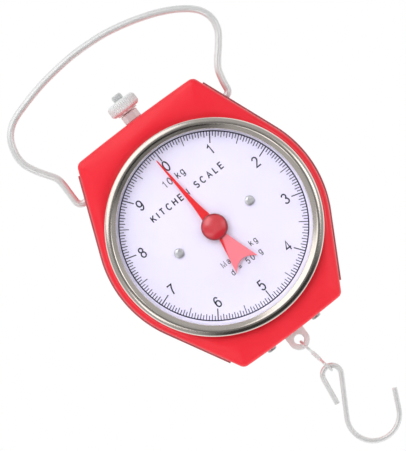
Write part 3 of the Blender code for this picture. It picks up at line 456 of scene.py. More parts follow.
def makeSmudgeGroup():
    # finger marks and dull patches that change how rough a surface looks
    tree, given, put = newGroup(
        "handling", "ShaderNodeTree", {"Vector": "Vector", "Scale": 60.0}, {"Mask": "Float"}
    )
    broad = noise(tree, given["Vector"], given["Scale"], 5.0, 0.6)
    fine = noise(tree, given["Vector"], product(tree, given["Scale"], 9.0), 3.0, 0.6)
    mixed = total(tree, product(tree, broad, 0.75), product(tree, fine, 0.25))
    tree.links.new(ramp(tree, mixed, 0.36, 0.62), put["Mask"])
    return tree


groups = {
    "peel": makePeelGroup(),
    "lines": makeLineGroup(),
    "round": makeRoundGroup(),
    "smudge": makeSmudgeGroup(),
}
print("shader groups made:", len(groups))


def tone(red, green, blue):
    # a colour given as it looks on a screen, from 0 to 255
    def straight(value):
        value /= 255
        return value / 12.92 if value <= 0.04045 else ((value + 0.055) / 1.055) ** 2.4

    return (straight(red), straight(green), straight(blue), 1.0)


def newMaterial(name):
    made = bpy.data.materials.new(name)
    made.use_nodes = True
    tree = made.node_tree
    return made, tree, tree.nodes["Principled BSDF"]


def centred(tree):
    # Object coordinates about the dial's centre
    here = addNode(tree, "ShaderNodeTexCoord").outputs["Object"]
    feeds = {"Vector": here, "Location": tuple(-dialCentre)}
    return addNode(tree, "ShaderNodeMapping", feeds).outputs["Vector"]


def useGroup(tree, name, feeds):
    return addNode(tree, "ShaderNodeGroup", feeds, node_tree=groups[name]).outputs


def bump(tree, height, strength, distance):
    feeds = {"Height": height, "Strength": strength, "Distance": distance}
    return addNode(tree, "ShaderNodeBump", feeds).outputs["Normal"]


skinDepth, lineDepth = 0.00004, 0.00002  # metres, of enamel ripples and of tool lines
handScale = 45.0


def paintMaterial(name, look):
    made, tree, shader = newMaterial(name)
    here = centred(tree)
    skin = useGroup(tree, "peel", {"Vector": here, "Ripple Scale": look["ripple"], "Grit": look["grit"]})
    colour = mixColour(tree, skin["Cloud"], look["colour"], look["cloudColour"])
    colour = mixColour(tree, product(tree, skin["Speck"], look["speck"]), colour, look["speckColour"])
    smudge = useGroup(tree, "smudge", {"Vector": here, "Scale": handScale})["Mask"]
    rough = between(tree, smudge, look["rough"], look["rough"] + look["roughSpread"])
    # the pointer's tail gets a painted sheen, a lighter pink mixed into its base colour
    if "tailSheenColour" in look:
        colour = lightenTail(tree, colour, look)
    feedNode(tree, shader, {
        "Base Color": colour, "Roughness": rough, "Specular IOR Level": look["specular"],
        "Coat Weight": look["coat"], "Coat Roughness": look["coatRough"],
        "Normal": bump(tree, skin["Height"], look["bump"], skinDepth),
    })
    return made


def lightenTail(tree, colour, look):
    # a painted sheen on the pointer's tail, which is bent a little: a lighter pink right of a line that
    # leans across it
    blade = splitVector(tree, addNode(tree, "ShaderNodeTexCoord").outputs["UV"])
    down = calc(tree, "SUBTRACT", product(tree, blade["Y"], -1.0), look["tailStart"])
    aside = total(tree, total(tree, blade["X"], look["tailAside"]), product(tree, down, look["tailLean"]))
    share = product(tree, ramp(tree, aside, *look["tailEdge"]), ramp(tree, down, *look["tailFade"]))
    return mixColour(tree, share, colour, look["tailSheenColour"])


def metalMaterial(name, look):
    # lines follow the UV map on wire, the turning direction on turned pieces, and one axis elsewhere
    made, tree, shader = newMaterial(name)
    here = centred(tree)
    if look["lines"] == "wire":
        vector = addNode(tree, "ShaderNodeTexCoord").outputs["UV"]
    elif look["lines"] == "turned":
        vector = useGroup(tree, "round", {"Vector": here})["Vector"]
    else:
        vector = here
    marks = useGroup(tree, "lines", {"Vector": vector, "Across": look["across"], "Along": look["along"]})
    smudge = useGroup(tree, "smudge", {"Vector": here, "Scale": look["smudgeScale"]})["Mask"]
    colour = mixColour(tree, marks["Streak"], look["colour"], look["streakColour"])
    colour = mixColour(tree, product(tree, smudge, look["dull"]), colour, look["dullColour"])
    shade = total(tree, product(tree, marks["Streak"], 0.5), product(tree, smudge, 0.5))
    rough = between(tree, shade, look["rough"], look["rough"] + look["roughSpread"])
    feedNode(tree, shader, {
        "Base Color": colour, "Roughness": rough, "Metallic": look["metal"],
        "Normal": bump(tree, marks["Height"], look["bump"], lineDepth),
    })
    return made


caseRed = {
    "colour": tone(250, 40, 57), "cloudColour": tone(246, 30, 49), "ripple": 420.0, "grit": 0.35,
    "speck": 0.12, "speckColour": tone(250, 90, 100), "rough": 0.32, "roughSpread": 0.12, "specular": 0.35,
    "coat": 0.3, "coatRough": 0.12, "bump": 0.35,
}
# front edges of the back's side flanges: a paler, duller red for the bare cut edge, with a painted
# highlight along it
cutEdgeSheen = {
    "colour": tone(196, 112, 118), "cloudColour": tone(176, 94, 100), "ripple": 900.0, "grit": 0.5,
    "speck": 0.3, "speckColour": tone(120, 66, 70), "rough": 0.5, "roughSpread": 0.2, "specular": 0.3,
    "coat": 0.0, "coatRough": 0.3, "bump": 0.4,
}
pointerRed = {
    "colour": tone(234, 16, 27), "cloudColour": tone(227, 9, 20), "ripple": 900.0, "grit": 0.2,
    "speck": 0.08, "speckColour": tone(255, 80, 90), "rough": 0.3, "roughSpread": 0.1, "specular": 0.2,
    "coat": 0.04, "coatRough": 0.1, "bump": 0.15,
    # the painted sheen on the tail: how far below the arbor it starts, its line's place and lean, its soft
    # edges
    "tailSheenColour": tone(246, 126, 138), "tailStart": 6.0, "tailAside": 0.4, "tailLean": 0.41,
    "tailEdge": (-0.35, 0.45), "tailFade": (-1.5, 0.5),
}
capRed = {
    "colour": tone(203, 18, 40), "cloudColour": tone(190, 10, 30), "ripple": 500.0, "grit": 0.1,
    "speck": 0.12, "speckColour": tone(240, 110, 120), "rough": 0.14, "roughSpread": 0.1, "specular": 0.5,
    "coat": 0.4, "coatRough": 0.06, "bump": 0.3,
}
# a darker copy of the cap's red: painted shade on the cap's steep rim
capRimShade = {**capRed, "colour": tone(150, 10, 28), "cloudColour": tone(132, 8, 24)}
dialWhite = {
    "colour": tone(240, 235, 254), "cloudColour": tone(236, 231, 252), "ripple": 1500.0, "grit": 0.3,
    "speck": 0.1, "speckColour": tone(222, 216, 238), "rough": 0.5, "roughSpread": 0.12, "specular": 0.2,
    "coat": 0.0, "coatRough": 0.3, "bump": 0.08,
}
spacerWhite = {
    "colour": tone(240, 236, 250), "cloudColour": tone(228, 224, 240), "ripple": 700.0, "grit": 0.4,
    "speck": 0.1, "speckColour": tone(205, 200, 220), "rough": 0.45, "roughSpread": 0.15, "specular": 0.4,
    "coat": 0.0, "coatRough": 0.3, "bump": 0.12,
}
printInk = {
    "colour": tone(34, 32, 48), "cloudColour": tone(46, 44, 60), "ripple": 1800.0, "grit": 0.5,
    "speck": 0.3, "speckColour": tone(90, 88, 108), "rough": 0.6, "roughSpread": 0.2, "specular": 0.1,
    "coat": 0.0, "coatRough": 0.3, "bump": 0.2,
}
bezelChrome = {
    "lines": "turned", "across": 26000.0, "along": 1.5, "smudgeScale": 60.0, "colour": tone(236, 228, 219),
    "streakColour": tone(228, 220, 212), "dull": 0.25, "dullColour": tone(212, 204, 196), "metal": 1.0,
    "rough": 0.14, "roughSpread": 0.1, "bump": 0.06,
}
wireNickel = {
    "lines": "wire", "across": 20.0, "along": 0.06, "smudgeScale": 70.0, "colour": tone(238, 239, 238),
    "streakColour": tone(226, 227, 227), "dull": 0.25, "dullColour": tone(210, 211, 211), "metal": 0.38,
    "rough": 0.26, "roughSpread": 0.12, "bump": 0.08,
}
nutNickel = {
    "lines": "flat", "across": 1600.0, "along": 500.0, "smudgeScale": 160.0, "colour": tone(246, 248, 248),
    "streakColour": tone(234, 236, 236), "dull": 0.3, "dullColour": tone(216, 218, 219), "metal": 0.28,
    "rough": 0.24, "roughSpread": 0.14, "bump": 0.12,
}
studSteel = {
    "lines": "turned", "across": 9000.0, "along": 2.0, "smudgeScale": 400.0, "colour": tone(232, 234, 234),
    "streakColour": tone(210, 212, 213), "dull": 0.4, "dullColour": tone(186, 188, 190), "metal": 0.4,
    "rough": 0.24, "roughSpread": 0.16, "bump": 0.15,
}
screwSteel = {
    "lines": "turned", "across": 9000.0, "along": 2.0, "smudgeScale": 400.0, "colour": tone(214, 214, 215),
    "streakColour": tone(190, 191, 193), "dull": 0.5, "dullColour": tone(160, 161, 164), "metal": 0.8,
    "rough": 0.24, "roughSpread": 0.2, "bump": 0.2,
}
eyeZinc = {
    "lines": "flat", "across": 700.0, "along": 700.0, "smudgeScale": 260.0, "colour": tone(246, 252, 251),
    "streakColour": tone(230, 237, 236), "dull": 0.4, "dullColour": tone(210, 217, 216), "metal": 0.06,
    "rough": 0.36, "roughSpread": 0.18, "bump": 0.35,
}
plateZinc = {
    "lines": "flat", "across": 900.0, "along": 40.0, "smudgeScale": 80.0, "colour": tone(200, 202, 206),
    "streakColour": tone(176, 180, 186), "dull": 0.6, "dullColour": tone(156, 162, 172), "metal": 0.9,
    "rough": 0.38, "roughSpread": 0.2, "bump": 0.3,
}
turnedBrass = {
    "lines": "turned", "across": 6000.0, "along": 3.0, "smudgeScale": 300.0, "colour": tone(222, 184, 104),
    "streakColour": tone(196, 154, 78), "dull": 0.5, "dullColour": tone(158, 120, 66), "metal": 1.0,
    "rough": 0.24, "roughSpread": 0.2, "bump": 0.25,
}


def lensMaterial(name, look):
    # clear acrylic: lamps reach what is behind it
    made, tree, shader = newMaterial(name)
    here = centred(tree)
    smudge = useGroup(tree, "smudge", {"Vector": here, "Scale": look["smudgeScale"]})["Mask"]
    rough = between(tree, smudge, look["rough"], look["rough"] + look["roughSpread"])
    feedNode(tree, shader, {
        "Base Color": look["colour"], "Roughness": rough, "Transmission Weight": 1.0, "IOR": look["ior"],
    })
    clear = addNode(tree, "ShaderNodeBsdfTransparent", {"Color": look["colour"]}).outputs[0]
    lamp = addNode(tree, "ShaderNodeLightPath").outputs["Is Shadow Ray"]
    mixed = addNode(tree, "ShaderNodeMixShader", {0: lamp, 1: shader.outputs[0], 2: clear}).outputs[0]
    feedNode(tree, tree.nodes["Material Output"], {"Surface": mixed})
    return made


clearLens = {
    "colour": (0.985, 0.985, 0.995, 1.0), "ior": 1.3, "smudgeScale": 30.0, "rough": 0.0,
    "roughSpread": 0.02,
}

finishes = {name: paintMaterial(name, look) for name, look in (
    ("caseEnamel", caseRed), ("cutEdgeSheen", cutEdgeSheen), ("pointerPaint", pointerRed), ("capGloss", capRed),
    ("capRimShade", capRimShade), ("dialPaint", dialWhite), ("spacerPlastic", spacerWhite), ("printInk", printInk),
)}
finishes.update({name: metalMaterial(name, look) for name, look in (
    ("bezelChrome", bezelChrome), ("wireNickel", wireNickel), ("nutNickel", nutNickel),
    ("studSteel", studSteel), ("screwSteel", screwSteel), ("eyeZinc", eyeZinc), ("plateZinc", plateZinc),
    ("turnedBrass", turnedBrass),
)})
finishes["clearLens"] = lensMaterial("clearLens", clearLens)
print("materials made:", len(finishes))

frontLow, frontHigh = boxOf("front_shell")
coverHigh = boxOf("rear_cover")[1]
case = {
    "flank": frontHigh.x,
    "top": (37.2, frontHigh.z - 0.7),  # corner tips: half width and height
    "bottom": (31.2, frontLow.z + 0.7),
    "bow": 0.7,
    "cornerR": 3.9,
    "front": frontLow.y,
    "wallEnd": frontHigh.y,
    "roll": 2.9,  # bend between the walls and the face, and the degrees it turns through
    "rollTurn": 72.0,
    "crown": 1.5,  # the face rises by this from its rim to its highest line
    "moat": (1.1, 6.5),  # depth and width of the hollow round the bezel
    "faceEnd": 55.6,  # under the bezel
    "sheet": 0.8,
    "opening": 52.5,
    "layer": coverHigh.x - frontHigh.x,
    "hingeHole": 2.3,
    "collarRoom": 1.15,  # round the zero screw
    "eyeSlot": 6.8,
    "slotRoom": 1.2,
    "screwHole": 1.7,
    # the back's flanges: their reach forward, where the side ones end, and half the end ones' widths
    "sideReach": 22.5,
    "endReach": 26.0,
    "topGap": 5.0,
    "lowGap": 6.0,
    "topHalf": 26.0,
    "lowHalf": 23.0,
    "tuck": 0.2,
    "bend": 1.3,
}


def sideTilt(corner):
    half, height = corner
    lean = abs(math.atan2(height, half)) - math.acos(case["flank"] / math.hypot(half, height))
    return math.copysign(lean, height)


topTilt = sideTilt(case["top"])
bottomTilt = sideTilt(case["bottom"])


def sideAt(z, grow=0.0):
    flank = case["flank"] + grow
    if z > flank * math.sin(topTilt):
        return (flank - z * math.sin(topTilt)) / math.cos(topTilt)
    if z < flank * math.sin(bottomTilt):
        return (flank - z * math.sin(bottomTilt)) / math.cos(bottomTilt)
    return math.sqrt(flank * flank - z * z)


def endAt(x, corner, grow=0.0):
    half, height = corner
    return height + math.copysign(1, height) * (case["bow"] * (1 - (x / half) ** 2) + grow)


def flankPoints(grow=0.0, steps=40):
    turns = [topTilt + (bottomTilt - topTilt) * k / steps for k in range(steps + 1)]
    radius = case["flank"] + grow
    return [(radius * math.cos(turn), radius * math.sin(turn)) for turn in turns]


def mirroredLoop(right):
    # an anticlockwise loop from its right half, which runs from the top centre down to the bottom centre
    return [Vector(p) for p in right[::-1]] + [Vector((-p[0], p[1])) for p in right[1:-1]]


def caseOutline(longest=1.6):
    right = [(x, endAt(x, case["top"])) for x in (0, 8, 16, 24, 30)]
    right.append((*case["top"], case["cornerR"]))
    right += flankPoints()
    right.append((*case["bottom"], case["cornerR"]))
    right += [(x, endAt(x, case["bottom"])) for x in (26, 20, 12, 6, 0)]
    return spread(mirroredLoop(filleted(right, 10)), longest)


def caseCutters():
    # the holes that the front and the rear cover share, about the pieces that go through them
    hinge = jointPoint("bail_hinge")
    studR = boxOf("zero_screw")[1].x
    stripLow, stripHigh = boxOf("load_bar")
    far, half, room = 90, case["eyeSlot"], case["slotRoom"]
    outside, inside = frontLow.z - 5, frontLow.z + 8  # a cut through the lower wall runs between these
    cutters = [
        roundCutter((-far, 0, hinge.z), (far, 0, hinge.z), case["hingeHole"]),
        roundCutter((0, 0, frontHigh.z - 8), (0, 0, frontHigh.z + 5), studR + case["collarRoom"]),
        boxCutter((-half, stripLow.y - room, outside), (half, stripHigh.y + room, inside)),
    ]
    for side in ("left", "right"):
        x = middleX(f"cover_screw_{side}")
        cutters.append(roundCutter((x, 0, outside), (x, 0, inside), case["screwHole"], 24))
    return cutters


def faceAt(here, room, share, start):
    # depth of the face: it rises from its rim, and is hollowed next to the bezel where there is room
    rise = case["front"] + (start - case["front"]) * (1 - share) ** 2
    deep, wide = case["moat"]
    near = max(0.0, 1 - (here.length - case["faceEnd"]) / min(wide, 0.7 * room + 0.01))
    return rise + deep * min(1.0, room / 9) * near * near


def makeCaseFront():
    outline = caseOutline()
    bm = bmesh.new()
    rows = []
    wall = case["front"] + case["crown"] + case["roll"]
    for y in (case["wallEnd"], (case["wallEnd"] + wall) / 2, wall):
        rows.append(rowAt(bm, outline, y))
    tilt = math.radians(case["rollTurn"])
    for k in range(1, 8):
        angle = tilt * k / 7
        inset, rise = case["roll"] * (1 - math.cos(angle)), case["roll"] * math.sin(angle)
        rows.append(rowAt(bm, insetLoop(outline, inset), wall - rise))
    rim = insetLoop(outline, case["roll"] * (1 - math.cos(tilt)))
    start = wall - case["roll"] * math.sin(tilt)
    steps = 14
    for k in range(1, steps + 1):
        share = k / steps
        row = []
        for p in rim:
            middle = p.normalized() * case["faceEnd"]
            here = p.lerp(middle, share)
            row.append(bm.verts.new((here.x, faceAt(here, (p - middle).length, share, start), here.y)))
        rows.append(row)
    ends = [p.normalized() * case["opening"] for p in rim]
    rows.append([bm.verts.new((p.x, vert.co.y, p.y)) for p, vert in zip(ends, rows[-1])])
    skinRows(bm, rows)
    obj = looseObject(meshOf(bm))
    sheet = obj.modifiers.new("Sheet", "SOLIDIFY")
    sheet.thickness = case["sheet"]
    sheet.offset = -1 if facesOut(obj.data) else 1
    mesh = cutMesh(bakedMesh(obj), caseCutters())
    finishPiece("case_front", mesh, "caseEnamel", "housing", ["front_shell"], 40)


def facesOut(mesh):
    # whether the face furthest forward looks forward
    face = min(mesh.polygons, key=lambda f: f.center.y)
    return face.normal.y < 0


def makeCaseBack():
    # back plate whose side flanges wrap the front's sides, with end flanges tucked inside it
    right, kinds = [], []

    def add(points, kind=None):
        right.extend(points)
        kinds.extend([kind] * len(points))

    layer, tuck = case["layer"], case["tuck"]
    topHalf, lowHalf = case["topHalf"], case["lowHalf"]
    flangeTop, flangeLow = case["top"][1] - case["topGap"], case["bottom"][1] + case["lowGap"]
    corners = {}
    for name in ("top", "bottom"):
        tip = case[name]
        z = tip[1]
        side = (sideAt(z * 0.8), z * 0.8)
        corner = filleted([(0, z), (*tip, case["cornerR"]), side], 10)
        corners[name] = [tuple(p) for p in corner[1:-1]]
    fractions = [k / 4 for k in range(5)]
    add([(topHalf * f, endAt(topHalf * f, case["top"], -layer)) for f in fractions], "end")
    add([(topHalf, endAt(topHalf, case["top"], -tuck))])
    add(corners["top"] + [(sideAt(flangeTop), flangeTop)])
    side = [p for p in flankPoints(layer, 60) if flangeLow < p[1] < flangeTop]
    add([(sideAt(flangeTop, layer), flangeTop), *side, (sideAt(flangeLow, layer), flangeLow)], "side")
    add([(sideAt(flangeLow), flangeLow)] + corners["bottom"][::-1])
    add([(lowHalf, endAt(lowHalf, case["bottom"], -tuck))])
    add([(lowHalf * f, endAt(lowHalf * f, case["bottom"], -layer)) for f in fractions[::-1]], "end")
    points = right + [(-p[0], p[1]) for p in right[-2:0:-1]]
    kinds += kinds[-2:0:-1]
    bm = bmesh.new()
    back = coverHigh.y
    verts = [bm.verts.new((p[0], back, p[1])) for p in points]
    bm.faces.new(verts)
    for kind, reach in (("side", case["sideReach"]), ("end", case["endReach"])):
        edges = []
        for k, vert in enumerate(verts):
            after = (k + 1) % len(verts)
            if kinds[k] == kind and kinds[after] == kind:
                edges.append(bm.edges.get((vert, verts[after])))
        grown = bmesh.ops.extrude_edge_only(bm, edges=edges)["geom"]
        rims = [v for v in grown if isinstance(v, bmesh.types.BMVert)]
        bmesh.ops.translate(bm, verts=rims, vec=(0, -reach, 0))
    obj = looseObject(meshOf(bm))
    bends = obj.modifiers.new("Bends", "BEVEL")
    bends.width = case["bend"]
    bends.segments = 4
    bends.limit_method = "ANGLE"
    bends.angle_limit = math.radians(50)
    sheet = obj.modifiers.new("Sheet", "SOLIDIFY")
    sheet.thickness = case["sheet"]
    sheet.offset = -1
    sheet.use_even_offset = True
    mesh = cutMesh(bakedMesh(obj), caseCutters())

    def onCut(face):
        return face.normal.y < -0.8 and abs(face.center.x) > sideAt(face.center.z) - 0.3

    # these edge faces take the paler red: bare cut edge and painted highlight
    edges = ("cutEdgeSheen", onCut)
    finishPiece("case_back", mesh, "caseEnamel", "housing", ["rear_cover"], 30, edges)


makeCaseFront()
makeCaseBack()
print("case made")

ringLow, ringHigh = boxOf("bezel")
lensLow, lensHigh = boxOf("lens")
dialLow, dialHigh = boxOf("dial_plate")
spacerLow, spacerHigh = boxOf("lens_spacer")
bezel = {
    "outer": ringHigh.x,
    "crest": ringLow.y,
    "crestR": 53.3,
    "shoulderR": 55.5,  # the bead leans by the angle here, then turns over to its outer side
    "shoulder": 35.0,
    "brink": 85.0,
    "slope": 38.0,  # of the side towards the window, in degrees
    "crestTurn": 1.1,  # width over which the crest turns into the slope
    "lipR": 50.3,
    "foot": case["front"] + 1.1,
    "neckR": 52.2,
    "neckEnd": ringHigh.y,
}


def makeBezel():
    # its section runs from the foot over the bead, down the slope to the lip, and back along the neck
    outer, crest, middle = bezel["outer"], bezel["crest"], bezel["crestR"]
    lean, brink = math.radians(bezel["shoulder"]), math.radians(bezel["brink"])
    wide = (bezel["shoulderR"] - middle) / math.sin(lean)
    tight = (outer - bezel["shoulderR"]) / (math.sin(brink) - math.sin(lean))
    bead = []
    for k in range(11):
        angle = lean * k / 10
        bead.append((middle + wide * math.sin(angle), crest + wide * (1 - math.cos(angle))))
    shoulder = bead[-1]
    for k in range(1, 9):
        angle = lean + (brink - lean) * k / 8
        across, down = math.sin(angle) - math.sin(lean), math.cos(lean) - math.cos(angle)
        bead.append((shoulder[0] + tight * across, shoulder[1] + tight * down))
    profile = [(outer, bezel["foot"])] + bead[::-1]
    slope, turn, lipR = math.tan(math.radians(bezel["slope"])), bezel["crestTurn"], bezel["lipR"]
    for k in range(1, 9):
        across = turn * k / 8
        profile.append((middle - across, crest + slope * across * across / turn / 2))
    lip = crest + slope * (middle - lipR - turn / 2)
    inner, back = lensHigh.x + 0.4, lensLow.y - 0.25  # clear of the window
    profile += [(lipR + 0.2, lip - 0.2 * slope), (lipR, lip + 0.15), (lipR, back - 0.15)]
    profile += [(lipR + 0.15, back), (inner, back), (inner, bezel["neckEnd"])]
    profile += [(bezel["neckR"], bezel["neckEnd"]), (bezel["neckR"], bezel["foot"])]
    mesh = turnedMesh(profile, steps=256, closed=True)
    finishPiece("bezel_ring", mesh, "bezelChrome", "housing", ["bezel"], 38)


window = {"edge": 0.25, "spacerR": 49.8, "spacerEdge": 0.2}


def makeWindow():
    radius, edge = lensHigh.x, window["edge"]
    profile = [(0, lensLow.y), (radius, lensLow.y, edge), (radius, lensHigh.y, edge), (0, lensHigh.y)]
    mesh = turnedMesh(filleted(profile, 4))
    finishPiece("window", mesh, "clearLens", "housing", ["lens"])
    inner, outer, edge = window["spacerR"], spacerHigh.x, window["spacerEdge"]
    front, back = spacerLow.y, spacerHigh.y
    profile = [(inner, front, edge), (inner, back, edge), (outer, back, edge), (outer, front, edge)]
    mesh = turnedMesh(filleted(profile, 3, closed=True), closed=True)
    finishPiece("window_spacer", mesh, "spacerPlastic", "housing", ["lens_spacer"])


dial = {
    "face": dialLow.y,
    "tilt": 1.7,  # the print sits this many degrees anticlockwise on its plate
    "shift": (0.12, 0.66),  # and is a little off its middle
    "tickR": 48.7,
    "tickCount": 200,
    "shortTick": 2.5,
    "pairTick": 3.2,
    "halfTick": 5.1,
    "kiloTick": 6.2,
    "thin": 0.44,
    "bold": 0.58,
    "rim": 0.65,
    "ink": 0.05,
    "numberR": 39.2,
    "numberHeight": 5.9,
    "numberStroke": 0.125,  # for a height of one
    "arborHole": 2.5,
    "screwHole": 1.7,
    # words, middle, foot, height, stroke for its height, width of the line
    "lines": [
        ("10 kg", -1.0, 30.0, 4.1, 0.12, 13.4),
        ("KITCHEN SCALE", 0.0, 20.1, 3.9, 0.17, 46.5),
        ("Max 10 kg", 1.5, -20.4, 3.4, 0.12, 22.6),
        ("d = 50 g", 1.5, -26.6, 3.4, 0.12, 19.5),
    ],
}


def makeDialPlate():
    bm = bmesh.new()
    loops = [circleLoop(0, 0, dialHigh.x, 160), circleLoop(0, 0, dial["arborHole"], 32, -1)]
    for side in ("left", "right"):
        loops.append(circleLoop(middleX(f"dial_screw_{side}"), 0, dial["screwHole"], 24, -1))
    slab(bm, loops, dialLow.y, dialHigh.y, 0.12, 2)
    finishPiece("dial_face", meshOf(bm), "dialPaint", "housing", ["dial_plate"])


def modifierInput(modifier, tree, title, value):
    for item in tree.interface.items_tree:
        if item.item_type == "SOCKET" and item.in_out == "INPUT" and item.name == title:
            modifier[item.identifier] = value


def runNodes(tree, inputs, source=None):
    # one evaluation of a geometry tree, as a plain mesh
    obj = looseObject(source or bpy.data.meshes.new("empty"))
    modifier = obj.modifiers.new("Build", "NODES")
    modifier.node_group = tree
    for title, value in inputs.items():
        modifierInput(modifier, tree, title, value)
    return bakedMesh(obj)


def moved(tree, shape, feeds):
    return addNode(tree, "GeometryNodeTransform", {"Geometry": shape, **feeds}).outputs[0]


def turnedAboutZ(tree, angle):
    return addNode(tree, "FunctionNodeEulerToRotation", {0: joinVector(tree, {"Z": angle})}).outputs[0]


def copiesRound(tree, points, count, shape, scale=(1, 1, 1)):
    # a copy of the shape on each of the points, each turned about z by its share of a full turn
    index = addNode(tree, "GeometryNodeInputIndex").outputs[0]
    angle = product(tree, index, calc(tree, "DIVIDE", math.tau, count))
    feeds = {"Points": points, "Instance": shape, "Rotation": turnedAboutZ(tree, angle), "Scale": scale}
    return addNode(tree, "GeometryNodeInstanceOnPoints", feeds).outputs[0]


def closeTree(tree, put, shape, finish):
    whole = addNode(tree, "GeometryNodeRealizeInstances", {"Geometry": shape}).outputs[0]
    painted = addNode(tree, "GeometryNodeSetMaterial", {"Geometry": whole, "Material": finish}).outputs[0]
    tree.links.new(painted, put["Geometry"])


def makeTickTree():
    # bars on a circle, longer at every second, tenth and twentieth one
    tree, given, put = newGroup(
        "dialTicks", "GeometryNodeTree",
        {"Count": 200, "Radius": 48.7, "Short": 2.5, "Pair": 3.2, "Half": 5.1, "Whole": 6.2, "Thin": 0.44,
         "Bold": 0.58, "Ink": 0.05, "Turn": 0.0, "Material": "Material"},
        {"Geometry": "Geometry"},
    )
    ring = addNode(tree, "GeometryNodeMeshCircle", {"Vertices": given["Count"], "Radius": given["Radius"]})
    index = addNode(tree, "GeometryNodeInputIndex").outputs[0]
    length, width = given["Short"], given["Thin"]
    for every, longer in ((2, given["Pair"]), (10, given["Half"]), (20, given["Whole"])):
        hit = calc(tree, "LESS_THAN", calc(tree, "MODULO", index, float(every)), 0.5)
        length = mixValue(tree, hit, length, longer)
        if every == 20:
            width = mixValue(tree, hit, width, given["Bold"])
    bar = addNode(tree, "GeometryNodeMeshCube", {"Size": (1, 1, 1)}).outputs[0]
    shifted = moved(tree, bar, {"Translation": (-0.5, 0, 0)})
    size = joinVector(tree, {"X": length, "Y": width, "Z": given["Ink"]})
    bars = copiesRound(tree, ring.outputs[0], given["Count"], shifted, size)
    turned = moved(tree, bars, {"Rotation": turnedAboutZ(tree, given["Turn"])})
    closeTree(tree, put, moved(tree, turned, {"Rotation": (math.pi / 2, 0, 0)}), given["Material"])
    return tree


def makeDialTicks():
    mesh = runNodes(makeTickTree(), {
        "Count": dial["tickCount"], "Radius": dial["tickR"], "Short": dial["shortTick"],
        "Pair": dial["pairTick"], "Half": dial["halfTick"], "Whole": dial["kiloTick"],
        "Thin": dial["thin"], "Bold": dial["bold"], "Ink": dial["ink"],
        "Turn": math.radians(90 + dial["tilt"]), "Material": finishes["printInk"],
    })
    shift = dial["shift"]
    mesh.transform(Matrix.Translation((shift[0], dial["face"], shift[1])))
    finishPiece("dial_divisions", mesh, "printInk", "housing")
    half, ink = dial["rim"] / 2, dial["ink"] / 2
    corners = ((-1, -1), (-1, 1), (1, 1), (1, -1))
    ring = [(dial["tickR"] + a * half, dial["face"] + b * ink) for a, b in corners]
    mesh = turnedMesh(ring, steps=240, closed=True, at=(shift[0], 0, shift[1]))
    finishPiece("dial_rim_line", mesh, "printInk", "housing")


# Plain lettering. A letter is one unit high and drawn by strokes through points (x, z);
# six numbers are an arc: its middle, its two radii, and the degrees where it starts and ends.
letters = {
    "0": (0.56, [[(0.28, 0.5, 0.25, 0.5, 0, 360)]]),
    "1": (0.50, [[(0.08, 0.76), (0.22, 0.86), (0.32, 1.0), (0.32, 0)]]),
    "2": (0.56, [[(0.28, 0.73, 0.23, 0.27, 170, -38), (0.03, 0), (0.54, 0)]]),
    "3": (0.56, [[(0.27, 0.76, 0.21, 0.24, 165, -90)], [(0.27, 0.26, 0.24, 0.26, 90, -165)]]),
    "4": (0.56, [[(0.4, 0), (0.4, 1), (0.0, 0.3), (0.55, 0.3)]]),
    "5": (0.56, [[(0.49, 1), (0.13, 1), (0.07, 0.5)], [(0.28, 0.33, 0.24, 0.33, 148, -158)]]),
    "6": (0.56, [[(0.28, 0.31, 0.24, 0.31, 0, 360)], [(0.3, 0.5, 0.26, 0.5, 40, 200)]]),
    "7": (0.54, [[(0.02, 1), (0.52, 1), (0.36, 0.72), (0.24, 0.38), (0.19, 0)]]),
    "8": (0.56, [[(0.28, 0.77, 0.2, 0.23, 0, 360)], [(0.28, 0.27, 0.24, 0.27, 0, 360)]]),
    "9": (0.56, [[(0.28, 0.69, 0.24, 0.31, 0, 360)], [(0.26, 0.5, 0.26, 0.5, -140, 20)]]),
    "A": (0.66, [[(0, 0), (0.33, 1), (0.66, 0)], [(0.12, 0.34), (0.54, 0.34)]]),
    "C": (0.66, [[(0.36, 0.5, 0.34, 0.5, 42, 318)]]),
    "E": (0.54, [[(0.53, 1), (0, 1), (0, 0), (0.55, 0)], [(0, 0.53), (0.49, 0.53)]]),
    "H": (0.58, [[(0, 0), (0, 1)], [(0.58, 0), (0.58, 1)], [(0, 0.53), (0.58, 0.53)]]),
    "I": (0.0, [[(0, 0), (0, 1)]]),
    "K": (0.56, [[(0, 0), (0, 1)], [(0.55, 1), (0, 0.38)], [(0.2, 0.6), (0.58, 0)]]),
    "L": (0.48, [[(0, 1), (0, 0), (0.48, 0)]]),
    "M": (0.68, [[(0, 0), (0, 1), (0.34, 0.05), (0.68, 1), (0.68, 0)]]),
    "N": (0.58, [[(0, 0), (0, 1), (0.58, 0), (0.58, 1)]]),
    "S": (0.56, [[(0.29, 0.76, 0.25, 0.24, 28, 270), (0.29, 0.26, 0.27, 0.26, 90, -156)]]),
    "T": (0.6, [[(0, 1), (0.6, 1)], [(0.3, 1), (0.3, 0)]]),
    "a": (0.44, [[(0.23, 0.5, 0.2, 0.22, 165, 0), (0.43, 0)], [(0.22, 0.21, 0.2, 0.21, 0, 360)]]),
    "d": (0.46, [[(0.45, 1), (0.45, 0)], [(0.23, 0.36, 0.22, 0.36, 0, 360)]]),
    "g": (0.46, [[(0.45, 0.72), (0.45, -0.08), (0.24, -0.08, 0.21, 0.19, 0, -155)],
                 [(0.23, 0.37, 0.22, 0.35, 0, 360)]]),
    "k": (0.42, [[(0, 0), (0, 1)], [(0.4, 0.72), (0, 0.28)], [(0.14, 0.43), (0.43, 0)]]),
    "x": (0.42, [[(0, 0), (0.42, 0.72)], [(0, 0.72), (0.42, 0)]]),
    "=": (0.5, [[(0, 0.64), (0.5, 0.64)], [(0, 0.36), (0.5, 0.36)]]),
    " ": (0.22, []),
}


